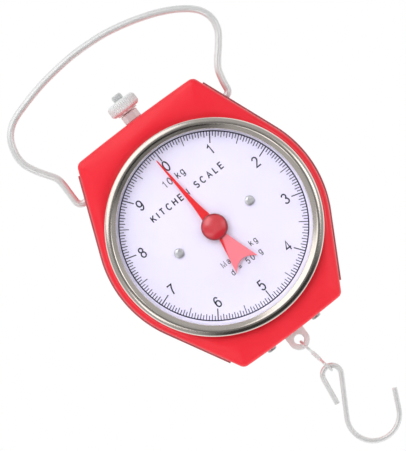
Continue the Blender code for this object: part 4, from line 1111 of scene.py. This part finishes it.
def strokePoints(items):
    points = []
    for item in items:
        if len(item) == 2:
            points.append(Vector(item))
            continue
        x, z, across, tall, start, finish = item
        steps = max(4, round(abs(finish - start) / 15))
        for k in range(steps + 1):
            turn = math.radians(start + (finish - start) * k / steps)
            points.append(Vector((x + across * math.cos(turn), z + tall * math.sin(turn))))
    kept = points[:1]
    for point in points[1:]:
        if (point - kept[-1]).length > 0.001:
            kept.append(point)
    return kept


def addStroke(bm, points, half, front, back):
    # a flat band of even width along the points, square at its ends, as a closed thin solid
    closed = (points[0] - points[-1]).length < 0.001
    if closed:
        points = points[:-1]
    count = len(points)
    rows = []
    for k, point in enumerate(points):
        before = points[k - 1] if closed or k else point
        after = points[(k + 1) % count] if closed or k < count - 1 else point
        come = (point - before).normalized() if before != point else (after - point).normalized()
        go = (after - point).normalized() if after != point else come
        aside = Vector((-come.y - go.y, come.x + go.x))
        aside = aside.normalized() * half / max(0.55, aside.length / 2)
        pair = (point + aside, point - aside)
        rows.append(rowAt(bm, pair, front) + rowAt(bm, pair[::-1], back))
    skinRows(bm, rows + rows[:1] if closed else rows, capped=not closed)


def printLine(bm, words, x, z, height, stroke, width=None):
    # one line of lettering centred on x, standing on z, spread out to the width where one is given
    inner = height * (1 - stroke)
    sizes = [letters[letter][0] * inner for letter in words]
    gap = height * (0.14 + stroke)
    if width:
        gap = (width - sum(sizes) - height * stroke) / (len(words) - 1)
    at = x - (sum(sizes) + gap * (len(words) - 1)) / 2
    tilt = Matrix.Rotation(math.radians(dial["tilt"]), 2)
    half = dial["ink"] / 2
    for letter, size in zip(words, sizes):
        for items in letters[letter][1]:
            foot = z + height * stroke / 2
            places = [Vector((at + p.x * inner, foot + p.y * inner)) for p in strokePoints(items)]
            places = [tilt @ p + Vector(dial["shift"]) for p in places]
            addStroke(bm, places, height * stroke / 2, dial["face"] - half, dial["face"] + half)
        at += size + gap


def joinedMesh(meshes):
    bm = bmesh.new()
    for mesh in meshes:
        bm.from_mesh(mesh)
        bpy.data.meshes.remove(mesh)
    return meshOf(bm)


def makeDialPrint():
    bm = bmesh.new()
    high = dial["numberHeight"]
    for number in range(10):
        angle = math.tau * number / 10
        x, z = dial["numberR"] * math.sin(angle), dial["numberR"] * math.cos(angle)
        printLine(bm, str(number), x, z - high / 2, high, dial["numberStroke"])
    finishPiece("dial_numbers", meshOf(bm), "printInk", "housing")
    bm = bmesh.new()
    for words, x, z, height, stroke, width in dial["lines"]:
        printLine(bm, words, x, z, height, stroke, width)
    finishPiece("dial_words", meshOf(bm), "printInk", "housing")


screw = {
    "shankR": 1.25,
    "length": 7.0,
    "dome": ((1, 0.5), (0.93, 0.72), (0.75, 0.88), (0.5, 0.97), (0, 1)),  # shares of radius and height
    "cross": (0.64, 0.16, 0.8),  # the same for the recess: reach, half width and depth
}


def makeScrewHead(name, at, axis, radius, height, turn, node):
    # pan head with a cross recess, its seat at the point at and its head along -axis
    shank, length = screw["shankR"], screw["length"]
    profile = [(0, length), (shank, length), (shank, 0), (radius - 0.15, 0), (radius, -0.12)]
    profile += [(radius * across, -height * down) for across, down in screw["dome"]]
    arm, wide, deep = (share * size for share, size in zip(screw["cross"], (radius, radius, height)))
    cutters = []
    for x, z in ((arm, wide), (wide, arm)):
        cutters.append(boxCutter((-x, -height - 1, -z), (x, -height + deep, z), turn))
    mesh = cutMesh(turnedMesh(profile, steps=48), cutters)
    if axis == "Z":
        mesh.transform(Matrix.Rotation(math.pi / 2, 4, "X"))
    mesh.transform(Matrix.Translation(at))
    finishPiece(name, mesh, "screwSteel", "housing", [node], 30)


def makeDialScrews():
    for side, turn in (("left", 0.5), ("right", 0.15)):
        low, high = boxOf(f"dial_screw_{side}")
        at = ((low.x + high.x) / 2, dialLow.y - 0.05, 0)
        radius, height = high.x - at[0], at[1] - low.y
        makeScrewHead(f"dial_screw_head_{side}", at, "Y", radius, height, turn, f"dial_screw_{side}")


makeBezel()
makeWindow()
makeDialPlate()
makeDialTicks()
makeDialPrint()
makeDialScrews()
print("bezel, window and dial made")

bladeLow, bladeHigh = boxOf("pointer")
capLow, capHigh = boxOf("pointer_cap")
pointer = {
    "rest": -4.2,  # degrees from the vertical
    # the right half of the blade, from its tip down to the notch in its tail
    "outline": [(0, 45.6), (0.32, 44.2), (0.5, 38.0), (0.76, 30.0), (1.02, 23.0), (1.4, 16.0), (2.0, 10.0),
                (2.6, 6.0), (2.9, 2.0), (2.6, -3.0), (2.3, -6.0), (3.0, -9.2), (4.6, -15.6), (7.2, -25.6),
                (5.4, -23.9), (3.4, -22.6), (1.6, -21.9), (0, -21.7)],
    "bevel": 0.16,
    "arborR": 1.34,
    "capR": capHigh.x,
    "capEdge": 0.9,
    "capBore": (1.4, 1.6),  # radius and depth
}


def makePointer():
    bm = bmesh.new()
    loops = [spread(mirroredLoop(pointer["outline"]), 1.5), circleLoop(0, 0, pointer["arborR"], 32, -1)]
    slab(bm, loops, bladeLow.y, bladeHigh.y, pointer["bevel"], 3, 0)
    uv = bm.loops.layers.uv.verify()
    for face in bm.faces:
        for loop in face.loops:
            loop[uv].uv = (loop.vert.co.x, loop.vert.co.z)  # along the blade, before it is turned
    mesh = meshOf(bm, merge=False)
    mesh.transform(Matrix.Rotation(math.radians(pointer["rest"]), 4, "Y"))
    finishPiece("pointer_blade", mesh, "pointerPaint", "pointer", ["pointer"])


def makePointerCap():
    radius, front, back = pointer["capR"], capLow.y, capHigh.y
    rim = back - pointer["capEdge"]
    bore, deep = pointer["capBore"]
    profile = [(0, back - deep), (bore, back - deep), (bore, back), (radius - 0.2, back)]
    profile += [(radius, back - 0.2), (radius, rim), (radius - 0.12, rim - 0.2)]
    profile.append((radius - 0.45, rim - 0.32))
    across, rise = radius - 0.5, rim - 0.34 - front
    for k in range(1, 13):
        angle = math.pi / 2 * k / 12
        profile.append((across * math.cos(angle), front + rise * (1 - math.sin(angle) ** 1.2)))
    profile[-1] = (0, front)

    def onRim(face):
        return math.hypot(face.center.x, face.center.z) > across - 0.15

    mesh = turnedMesh(profile, steps=96)
    # the rim's faces take the darker red: painted shade
    edges = ("capRimShade", onRim)
    finishPiece("pointer_dome", mesh, "capGloss", "pointer", ["pointer_cap"], 40, edges)


makePointer()
makePointerCap()
print("pointer made")

nutLow, nutHigh = boxOf("zero_nut")
studLow, studHigh = boxOf("zero_screw")
collarLow, collarHigh = boxOf("zero_collar")
nut = {
    "radius": nutHigh.x,
    "boss": 0.9,
    "bossR": 5.6,
    "chamfer": 0.9,
    "knurls": 42,
    "knurlDeep": 0.36,
    "knurlWide": 0.92,
    "knurlEnd": 0.5,  # length over which a knurl fades out
}
stud = {"core": 2.76, "pitch": 1.0, "threadFoot": 73.4}
collar = {"height": 4.8, "bore": studHigh.x + 0.15, "neckIn": 0.95}


def makeRingTree():
    # copies of the mesh it is given, on a circle about z
    tree, given, put = newGroup(
        "ringOfCopies", "GeometryNodeTree",
        {"Geometry": "Geometry", "Count": 36, "Radius": 8.0, "Height": 0.0, "Material": "Material"},
        {"Geometry": "Geometry"},
    )
    ring = addNode(tree, "GeometryNodeMeshCircle", {"Vertices": given["Count"], "Radius": given["Radius"]})
    lifted = moved(tree, ring.outputs[0], {"Translation": joinVector(tree, {"Z": given["Height"]})})
    copies = copiesRound(tree, lifted, given["Count"], given["Geometry"])
    closeTree(tree, put, copies, given["Material"])
    return tree


def makeCoilTree():
    # a ridge wound round z, as a screw's thread or a strand of twisted wire
    tree, given, put = newGroup(
        "woundRidge", "GeometryNodeTree",
        {"Turns": 4.0, "Radius": 2.6, "Height": 5.0, "Ridge": 0.4, "Sides": 4, "Steps": 32, "Strands": 1,
         "Material": "Material"},
        {"Geometry": "Geometry"},
    )
    path = addNode(tree, "GeometryNodeCurveSpiral", {
        "Resolution": given["Steps"], "Rotations": given["Turns"], "Start Radius": given["Radius"],
        "End Radius": given["Radius"], "Height": given["Height"],
    }).outputs[0]
    circle = {"Resolution": given["Sides"], "Radius": given["Ridge"]}
    section = addNode(tree, "GeometryNodeCurvePrimitiveCircle", circle).outputs[0]
    sweep = {"Curve": path, "Profile Curve": section, "Fill Caps": True}
    ridge = addNode(tree, "GeometryNodeCurveToMesh", sweep).outputs[0]
    dots = addNode(tree, "GeometryNodeMeshLine", {"Count": given["Strands"], "Offset": (0, 0, 0)})
    strands = copiesRound(tree, dots.outputs[0], given["Strands"], ridge)
    closeTree(tree, put, strands, given["Material"])
    return tree


ringTree = makeRingTree()
coilTree = makeCoilTree()


def makeNut():
    foot, top, chamfer, bossR = nutLow.z, nutHigh.z, nut["chamfer"], nut["bossR"]
    base, deep = foot + nut["boss"], nut["knurlDeep"]
    core = nut["radius"] - deep
    bore = studHigh.x + 0.2
    profile = [(bore, top - 0.4), (bore + 0.45, top - 0.02, 0.1), (core - chamfer, top, 0.3)]
    profile += [(core, top - chamfer * 0.9, 0.2), (core, base + chamfer * 0.9, 0.2)]
    profile += [(core - chamfer, base, 0.3), (bossR, base, 0.2), (bossR, foot, 0.25)]
    profile += [(bore + 0.4, foot, 0.1), (bore, foot + 0.4)]
    mesh = turnedMesh(filleted(profile, 4), axis="Z", steps=120, closed=True)
    finishPiece("zero_nut_body", mesh, "nutNickel", "zero_nut", ["zero_nut"], 30)
    half, tall = nut["knurlWide"] / 2, (top - base) / 2 - chamfer
    bm = bmesh.new()
    levels = [(tall, 0.0), (tall - nut["knurlEnd"], deep), (0.0, deep)]
    levels += [(-z, out) for z, out in levels[1::-1]]
    rows = []
    for z, out in levels:
        section = [(-0.3, -half), (0.02, -half), (out * 0.8 + 0.03, -half * 0.72)]
        section.append((out + 0.03, -half * 0.3))
        section += [(x, -y) for x, y in reversed(section)]
        rows.append([bm.verts.new((x - 0.03, y, z)) for x, y in section])
    skinRows(bm, rows, capped=True)
    mesh = runNodes(ringTree, {
        "Count": nut["knurls"], "Radius": core, "Height": (base + top) / 2,
        "Material": finishes["nutNickel"],
    }, meshOf(bm))
    finishPiece("zero_nut_knurls", mesh, "nutNickel", "zero_nut", sharp=50)


def makeStud():
    top, foot, outer = studHigh.z, studLow.z, studHigh.x
    core, ledge = stud["core"], stud["threadFoot"]
    profile = [(0, top), (core - 0.5, top, 0.1), (core, top - 0.6, 0.1), (core, ledge)]
    profile += [(outer, ledge - 0.4), (outer, foot), (0, foot)]
    stripLow, stripHigh = boxOf("spring_hanger")
    pinLow, pinHigh = boxOf("hanger_pin")
    pinZ, far, room = (pinLow.z + pinHigh.z) / 2, 9, 0.3
    cutters = [
        boxCutter((-far, stripLow.y - room, foot - 1), (far, stripHigh.y + room, stripHigh.z + room)),
        roundCutter((0, -far, pinZ), (0, far, pinZ), (pinHigh.z - pinLow.z) / 2 + 0.2, 32),
    ]
    mesh = cutMesh(turnedMesh(filleted(profile, 3), axis="Z", steps=64), cutters)
    finishPiece("zero_stud", mesh, "studSteel", "zero_screw", ["zero_screw"], 30)
    height = top - 0.75 - ledge
    mesh = runNodes(coilTree, {
        "Turns": height / stud["pitch"], "Radius": core - 0.05, "Height": height,
        "Ridge": outer - core + 0.05, "Sides": 6, "Steps": 28, "Material": finishes["studSteel"],
    })
    mesh.transform(Matrix.Translation((0, 0, ledge)))
    finishPiece("zero_stud_thread", mesh, "studSteel", "zero_screw", sharp=60)


def makeCollar():
    # hexagonal collar with a turned neck that goes down to its nut under the frame
    top, bottom, bore = collarHigh.z, collarLow.z, collar["bore"]
    foot = top - collar["height"]
    hexagon = circleLoop(0, 0, collarHigh.x, 6)
    neck = collarHigh.x - collar["neckIn"]
    bm = bmesh.new()
    rows = []
    for inset, z in ((0.3, foot), (0.0, foot + 0.3), (0.0, top - 0.45), (0.35, top - 0.1), (0.55, top)):
        rows.append([bm.verts.new((p.x, p.y, z)) for p in insetLoop(spread(hexagon, 0.5), inset)])
    skinRows(bm, rows, capped=True)
    head = cutMesh(meshOf(bm), [roundCutter((0, 0, foot - 1), (0, 0, top + 1), bore)])
    profile = [(bore, foot + 0.6), (neck, foot + 0.6), (neck, bottom + 0.3), (neck - 0.3, bottom)]
    profile.append((bore, bottom))
    mesh = joinedMesh([head, turnedMesh(profile, axis="Z", steps=64, closed=True)])
    finishPiece("zero_collar_hex", mesh, "nutNickel", "housing", ["zero_collar"], 25)


makeNut()
makeStud()
makeCollar()
print("zero set made")

bailHigh = boxOf("bail")[1]
bail = {
    "wire": bailHigh.y,
    "nose": 0.5,  # rounding of the wire's ends
    "bend": 3.2,
    "pinReach": 5.3,
    "clearLeft": 3.8,  # from the cover's side to the middle of the wire
    "clearRight": 2.9,
    # out from the neck and up from the hinge
    "leftRise": [(0, 6.7), (0, 14.1), (0.7, 18.3), (3.8, 23.2)],
    "rightRise": [(5.4, 18.1), (2.2, 13.3), (0.5, 7.1)],
    # across from the middle and down from the top
    "leftBow": [(-56.4, 35.8), (-59.1, 29.5), (-59.2, 22.7), (-56.4, 14.9), (-50.0, 9.1), (-38.5, 5.2),
                (-25.0, 2.1), (-10.0, 0.32), (0.0, 0.03)],
    "rightBow": [(12.8, 0.8), (23.1, 2.6), (33.3, 5.3), (43.6, 9.0), (53.6, 14.3), (60.8, 20.5),
                 (63.7, 27.5), (62.6, 34.4), (58.5, 40.5)],
}


def makeBail():
    hinge = jointPoint("bail_hinge").z
    top = bailHigh.z - bail["wire"]
    side = sideAt(hinge, case["layer"])
    left, right = side + bail["clearLeft"], side + bail["clearRight"]

    def pin(neck, way):
        inner = sideAt(hinge) - bail["pinReach"]
        bend = bail["bend"]
        bent = []
        for k in range(13):
            turn = math.pi / 2 * k / 12
            bent.append((neck - bend * (1 - math.sin(turn)), hinge + bend * (1 - math.cos(turn))))
        straight = [(inner + (bent[0][0] - inner) * k / 4, hinge) for k in range(4)]
        return [(way * x, 0, z) for x, z in straight + bent]

    keys = [(-left - out, 0, hinge + up) for out, up in bail["leftRise"]]
    keys += [(x, 0, top - down) for x, down in bail["leftBow"] + bail["rightBow"]]
    keys += [(right + out, 0, hinge + up) for out, up in bail["rightRise"]]
    path = pin(left, -1) + smoothPath(keys, 8) + pin(right, 1)[::-1]
    bm = bmesh.new()
    sweepWire(bm, path, bail["wire"], 28, bail["nose"])
    finishPiece("bail_wire", meshOf(bm, merge=False), "wireNickel", "bail", ["bail"], 50)


eyeLow, eyeHigh = boxOf("load_bar")
eye = {
    "radius": 5.6, "hole": 2.6, "drop": 4.9, "bevel": 0.45,
    "barTall": 9.0, "springHole": 1.6, "springZ": -26.5,
}


def makeLoadBar():
    # one stamping: cross bar with the springs' holes, and the strip down to the eye
    eyeZ, radius = frontLow.z - eye["drop"], eye["radius"]
    springX = abs(middleX("spring_left"))
    pinLow, pinHigh = boxOf("rack_pin")
    half, top = eyeHigh.x, eyeHigh.z
    low = top - eye["barTall"]
    right = filleted([(0, top), (half, top, 1.0), (half, low, 1.5), (radius, low, 1.5), (radius, eyeZ)], 5)
    for k in range(1, 17):
        turn = -math.pi / 2 * k / 16
        right.append((radius * math.cos(turn), eyeZ + radius * math.sin(turn)))
    loops = [spread(mirroredLoop(right), 2.0), circleLoop(0, eyeZ, eye["hole"], 48, -1)]
    pinR = (pinHigh.x - pinLow.x) / 2 + 0.2
    loops.append(circleLoop(middleX("rack_pin"), (pinLow.z + pinHigh.z) / 2, pinR, 24, -1))
    loops += [circleLoop(x, eye["springZ"], eye["springHole"], 24, -1) for x in (-springX, springX)]
    bm = bmesh.new()
    slab(bm, loops, eyeLow.y, eyeHigh.y, eye["bevel"], 4)
    finishPiece("load_eye", meshOf(bm), "eyeZinc", "load", ["load_bar"], 35)


link = {
    "wire": 0.75, "topR": 3.5, "lowR": 3.4, "neck": 1.5, "twists": 2.2,
    "strandR": 0.72, "strandWire": 0.86,  # shares of the wire
    "lap": 0.4,
}
hook = {
    "wire": 1.4, "loopR": 4.85, "loopDrop": (2.6, 0, -24.7), "bowlR": 13.6, "bowlDrop": (4.6, 0, -29.09),
    "shortArm": 14.6, "shortLean": 7.7, "tipArm": 11.2, "tipLean": 25.0,
}


def makeLink():
    # two drop-shaped eyes of one wire, with its ends twisted together between them
    upper, seat = jointPoint("link_swing"), jointPoint("hook_swing")
    down = (seat - Vector((0, 0, upper.z + link["topR"]))).normalized()
    lower = seat - down * link["lowR"]
    across = Vector((0, 1, 0))
    bm = bmesh.new()
    ends = []
    for middle, radius, way in ((upper, link["topR"], 1), (lower, link["lowR"], -1)):
        reach = radius + link["neck"]
        gap = math.acos(radius / reach)
        axis = down * way
        tip = middle + axis * reach
        ring = []
        steps = 40
        for k in range(steps + 1):
            angle = gap + (math.tau - 2 * gap) * k / steps
            ring.append(middle + radius * (math.cos(angle) * axis + math.sin(angle) * across))
        offset = across * link["wire"] * 0.6
        path = [tip + axis * 0.6 + offset * 0.8, tip + offset * 0.9]
        path += ring + [tip - offset * 0.9, tip + axis * 0.6 - offset * 0.8]
        sweepWire(bm, smoothPath(path, 2), link["wire"], 14, 0.2)
        ends.append(tip)
    finishPiece("link_eyes", meshOf(bm, merge=False), "wireNickel", "link", ["wire_link"], 50)
    shank = ends[1] - ends[0]
    mesh = runNodes(coilTree, {
        "Turns": link["twists"], "Radius": link["wire"] * link["strandR"],
        "Height": shank.length + 2 * link["lap"], "Ridge": link["wire"] * link["strandWire"],
        "Sides": 12, "Steps": 24, "Strands": 2,
        "Material": finishes["wireNickel"],
    })
    turn = shank.to_track_quat("Z", "Y").to_matrix().to_4x4()
    mesh.transform(Matrix.Translation(ends[0] - shank.normalized() * link["lap"]) @ turn)
    finishPiece("link_twist", mesh, "nutNickel", "link", sharp=50)


def makeHook():
    eyeZ = frontLow.z - eye["drop"]
    loop = Vector((0, 0, eyeZ)) + Vector(hook["loopDrop"])
    bowl = loop + Vector(hook["bowlDrop"])
    apart = bowl - loop
    lean = math.asin((hook["loopR"] + hook["bowlR"]) / apart.length) - math.atan2(apart.x, -apart.z)
    shortLean, tipLean = math.radians(hook["shortLean"]), math.radians(hook["tipLean"])
    top = arcPath(loop, hook["loopR"], math.pi - shortLean, -lean, 44)
    low = arcPath(bowl, hook["bowlR"], math.pi - lean, math.tau - tipLean, 64)
    down = Vector((-math.sin(shortLean), 0, -math.cos(shortLean)))
    up = Vector((math.sin(tipLean), 0, math.cos(tipLean)))
    short = [top[0] + down * hook["shortArm"] * (1 - k / 8) for k in range(8)]
    shank = [top[-1].lerp(low[0], k / 12) for k in range(1, 12)]
    tip = [low[-1] + up * hook["tipArm"] * k / 8 for k in range(1, 9)]
    bm = bmesh.new()
    sweepWire(bm, short + top + shank + low + tip, hook["wire"], 24, 0.4)
    finishPiece("load_hook", meshOf(bm, merge=False), "wireNickel", "hook", ["s_hook"], 50)


def makeCoverScrews():
    for side, turn in (("left", 0.3), ("right", 0.9)):
        low, high = boxOf(f"cover_screw_{side}")
        x = (low.x + high.x) / 2
        at = (x, 0, low.z + 1.65)
        radius, height = high.x - x, 1.6
        makeScrewHead(f"cover_screw_head_{side}", at, "Z", radius, height, turn, f"cover_screw_{side}")


makeBail()
makeLoadBar()
makeLink()
makeHook()
makeCoverScrews()
print("bail, load eye, link, hook and screws made")

packedFinishes = {
    "plateZinc": ["frame", "movement_plate", "collar_nut", "spring_hanger"],
    "turnedBrass": [
        "pillar_upper_left", "pillar_upper_right", "pillar_lower_left", "pillar_lower_right",
        "rack_guide_post", "front_bush", "rear_bush", "dial_post_left", "dial_post_right", "rack",
        "pinion",
    ],
    "screwSteel": ["arbor", "rack_pin", "hanger_pin", "spring_left", "spring_right"],
}
for finish, nodes in packedFinishes.items():
    for node in nodes:
        piece = frame["nodes"][node]
        if not piece.material_slots:
            piece.data.materials.append(None)
        for held in piece.material_slots:
            held.material = finishes[finish]
print("packed pieces finished")

studio = {
    "floorDrop": 0.05,
    "floorR": 0.6,
    "floorGlow": 0.5,  # lifts the floor to white where it is looked at
    "floorBounce": 0.3,  # and lights the scale from below
    "frontFill": 0.40,
    "backFill": 0.9,
    "aside": 0.42,  # what bright metal sees beside the scale, in front of it and below its front
    "ahead": 0.2,
    "mid": 0.4,
    "below": 0.03,
    "darkWay": (0.06, -0.80, -0.60),
    "asideEdge": (-0.25, 0.3),  # how far a direction points forward where each of them starts and ends
    "aheadEdge": (0.86, 0.97),
    "belowEdge": (0.88, 0.97),
    "fillEdge": (-0.6, 0.3),
    "midEdge": (-0.035, -0.05),  # along the floor: where the grey starts and ends, then the dark
    "darkEdge": (-0.078, -0.092),
    "darkSide": (0.2, 0.12),
    "boxFar": 1.25,
    # each lamp: degrees from straight ahead, its turn from upright, its size, how bright it looks, and
    # whether bright metal mirrors it
    "boxes": {
        "over": (54, -20, 1.55, 0.95, True),
        "right": (37, 105, 0.67, 1.25, True),
        "left": (37, -118, 0.67, 1.25, True),
        "high": (30, -12, 0.7, 2.5, False),
    },
}


def makeFloor():
    bm = bmesh.new()
    rows = []
    for radius in (0.1, 0.25, 0.4, studio["floorR"]):
        rows.append([bm.verts.new((p.x, p.y, 0)) for p in circleLoop(0, 0, radius, 96)])
    bm.faces.new(rows[0])
    skinRows(bm, rows)
    mesh = meshOf(bm)
    mesh.transform(Matrix.Translation((0, 0, cadBounds[0].z - studio["floorDrop"])))
    floor = looseObject(mesh, "floor")
    made, tree, shader = newMaterial("floorPaper")
    here = addNode(tree, "ShaderNodeTexCoord").outputs["Object"]
    grain = noise(tree, here, 220.0, 4.0, 0.6)
    paper = mixColour(tree, grain, tone(240, 240, 240), tone(234, 234, 234))
    feedNode(tree, shader, {"Base Color": paper, "Roughness": 0.9, "Specular IOR Level": 0.0})
    path = addNode(tree, "ShaderNodeLightPath").outputs
    seen = calc(tree, "ADD", path["Is Camera Ray"], path["Is Transmission Ray"], True)
    parts = splitVector(tree, here)
    # what bright metal sees of it: white beneath the scale, grey and then dark towards the front
    near = between(tree, ramp(tree, parts["Y"], *studio["midEdge"]), 1.0, studio["mid"])
    aside = calc(tree, "ABSOLUTE", parts["X"])
    inFront = ramp(tree, parts["Y"], *studio["darkEdge"])
    dark = product(tree, inFront, ramp(tree, aside, *studio["darkSide"]))
    mirrored = product(tree, near, between(tree, dark, 1.0, studio["below"] / studio["mid"]))
    lift = between(tree, seen, studio["floorBounce"], studio["floorGlow"])
    glow = addNode(tree, "ShaderNodeEmission", {"Color": (1, 1, 1, 1), "Strength": lift}).outputs[0]
    lifted = addNode(tree, "ShaderNodeAddShader", {0: shader.outputs[0], 1: glow}).outputs[0]
    mirror = addNode(tree, "ShaderNodeEmission", {"Color": (1, 1, 1, 1), "Strength": mirrored}).outputs[0]
    choice = {0: path["Is Glossy Ray"], 1: lifted, 2: mirror}
    mixed = addNode(tree, "ShaderNodeMixShader", choice).outputs[0]
    feedNode(tree, tree.nodes["Material Output"], {"Surface": mixed})
    mesh.materials.append(made)


def makeWorld():
    # plain white behind, grey beside and ahead where bright metal reflects the room, and an even fill
    world = bpy.data.worlds.new("studio")
    bpy.context.scene.world = world
    world.use_nodes = True
    tree = world.node_tree
    way = addNode(tree, "ShaderNodeTexCoord").outputs["Generated"]
    forward = product(tree, splitVector(tree, way)["Y"], -1.0)
    darkWay = tuple(Vector(studio["darkWay"]).normalized())
    beside = between(tree, ramp(tree, forward, *studio["asideEdge"]), 1.0, studio["aside"])
    aheadShare = studio["ahead"] / studio["aside"]
    ahead = between(tree, ramp(tree, forward, *studio["aheadEdge"]), 1.0, aheadShare)
    toward = addNode(tree, "ShaderNodeVectorMath", {0: way, 1: darkWay}, operation="DOT_PRODUCT")
    inDark = ramp(tree, toward.outputs["Value"], *studio["belowEdge"])
    below = between(tree, inDark, 1.0, studio["below"])
    mirror = product(tree, product(tree, beside, ahead), below)
    front = ramp(tree, forward, *studio["fillEdge"])
    fill = between(tree, front, studio["backFill"], studio["frontFill"])
    path = addNode(tree, "ShaderNodeLightPath").outputs
    plain = calc(tree, "ADD", path["Is Camera Ray"], path["Is Transmission Ray"], True)
    level = mixValue(tree, plain, mixValue(tree, path["Is Glossy Ray"], fill, mirror), 1.0)
    feedNode(tree, tree.nodes["Background"], {"Color": (1, 1, 1, 1), "Strength": level})


def addSoftbox(name, aside, turn, size, strength, mirrored):
    aside, turn = math.radians(aside), math.radians(turn)
    way = Vector((math.sin(aside) * math.sin(turn), -math.cos(aside), math.sin(aside) * math.cos(turn)))
    lamp = bpy.data.lights.new(name, "AREA")
    lamp.shape = "DISK"
    lamp.size = size
    lamp.energy = strength * (math.pi * size / 2) ** 2
    obj = bpy.data.objects.new(name, lamp)
    bpy.context.scene.collection.objects.link(obj)
    obj.location = dialCentre + way * studio["boxFar"]
    obj.rotation_euler = way.to_track_quat("Z", "Y").to_euler()
    obj.visible_glossy = mirrored


view = {
    "turn": 37.0,  # the scale is seen turned by this many degrees
    "lens": 400.0,
    "sensor": 36.0,
    "high": 0.2314,  # height of the camera's view at the dial
    "aimRight": -0.00585,
    "aimUp": 0.00072,
    "depth": -0.012,  # where that height holds
}


def makeCamera():
    turn = math.radians(view["turn"])
    right = Vector((math.cos(turn), 0, -math.sin(turn)))
    up = Vector((math.sin(turn), 0, math.cos(turn)))
    back = Vector((0, -1, 0))
    camera = bpy.data.cameras.new("camera")
    camera.lens = view["lens"]
    camera.sensor_width = view["sensor"]
    obj = bpy.data.objects.new("camera", camera)
    bpy.context.scene.collection.objects.link(obj)
    away = view["high"] / 2 / (view["sensor"] / 2 / view["lens"])
    aim = dialCentre + right * view["aimRight"] + up * view["aimUp"] + Vector((0, view["depth"], 0))
    place = Matrix((right, up, back)).transposed().to_4x4()
    place.translation = aim + back * away
    obj.matrix_world = place
    camera.clip_start = 0.05
    camera.clip_end = 20
    bpy.context.scene.camera = obj


makeFloor()
makeWorld()
for box, values in studio["boxes"].items():
    addSoftbox(box, *values)
makeCamera()
bpy.context.scene.view_settings.view_transform = "Standard"
print("floor, light and camera made")
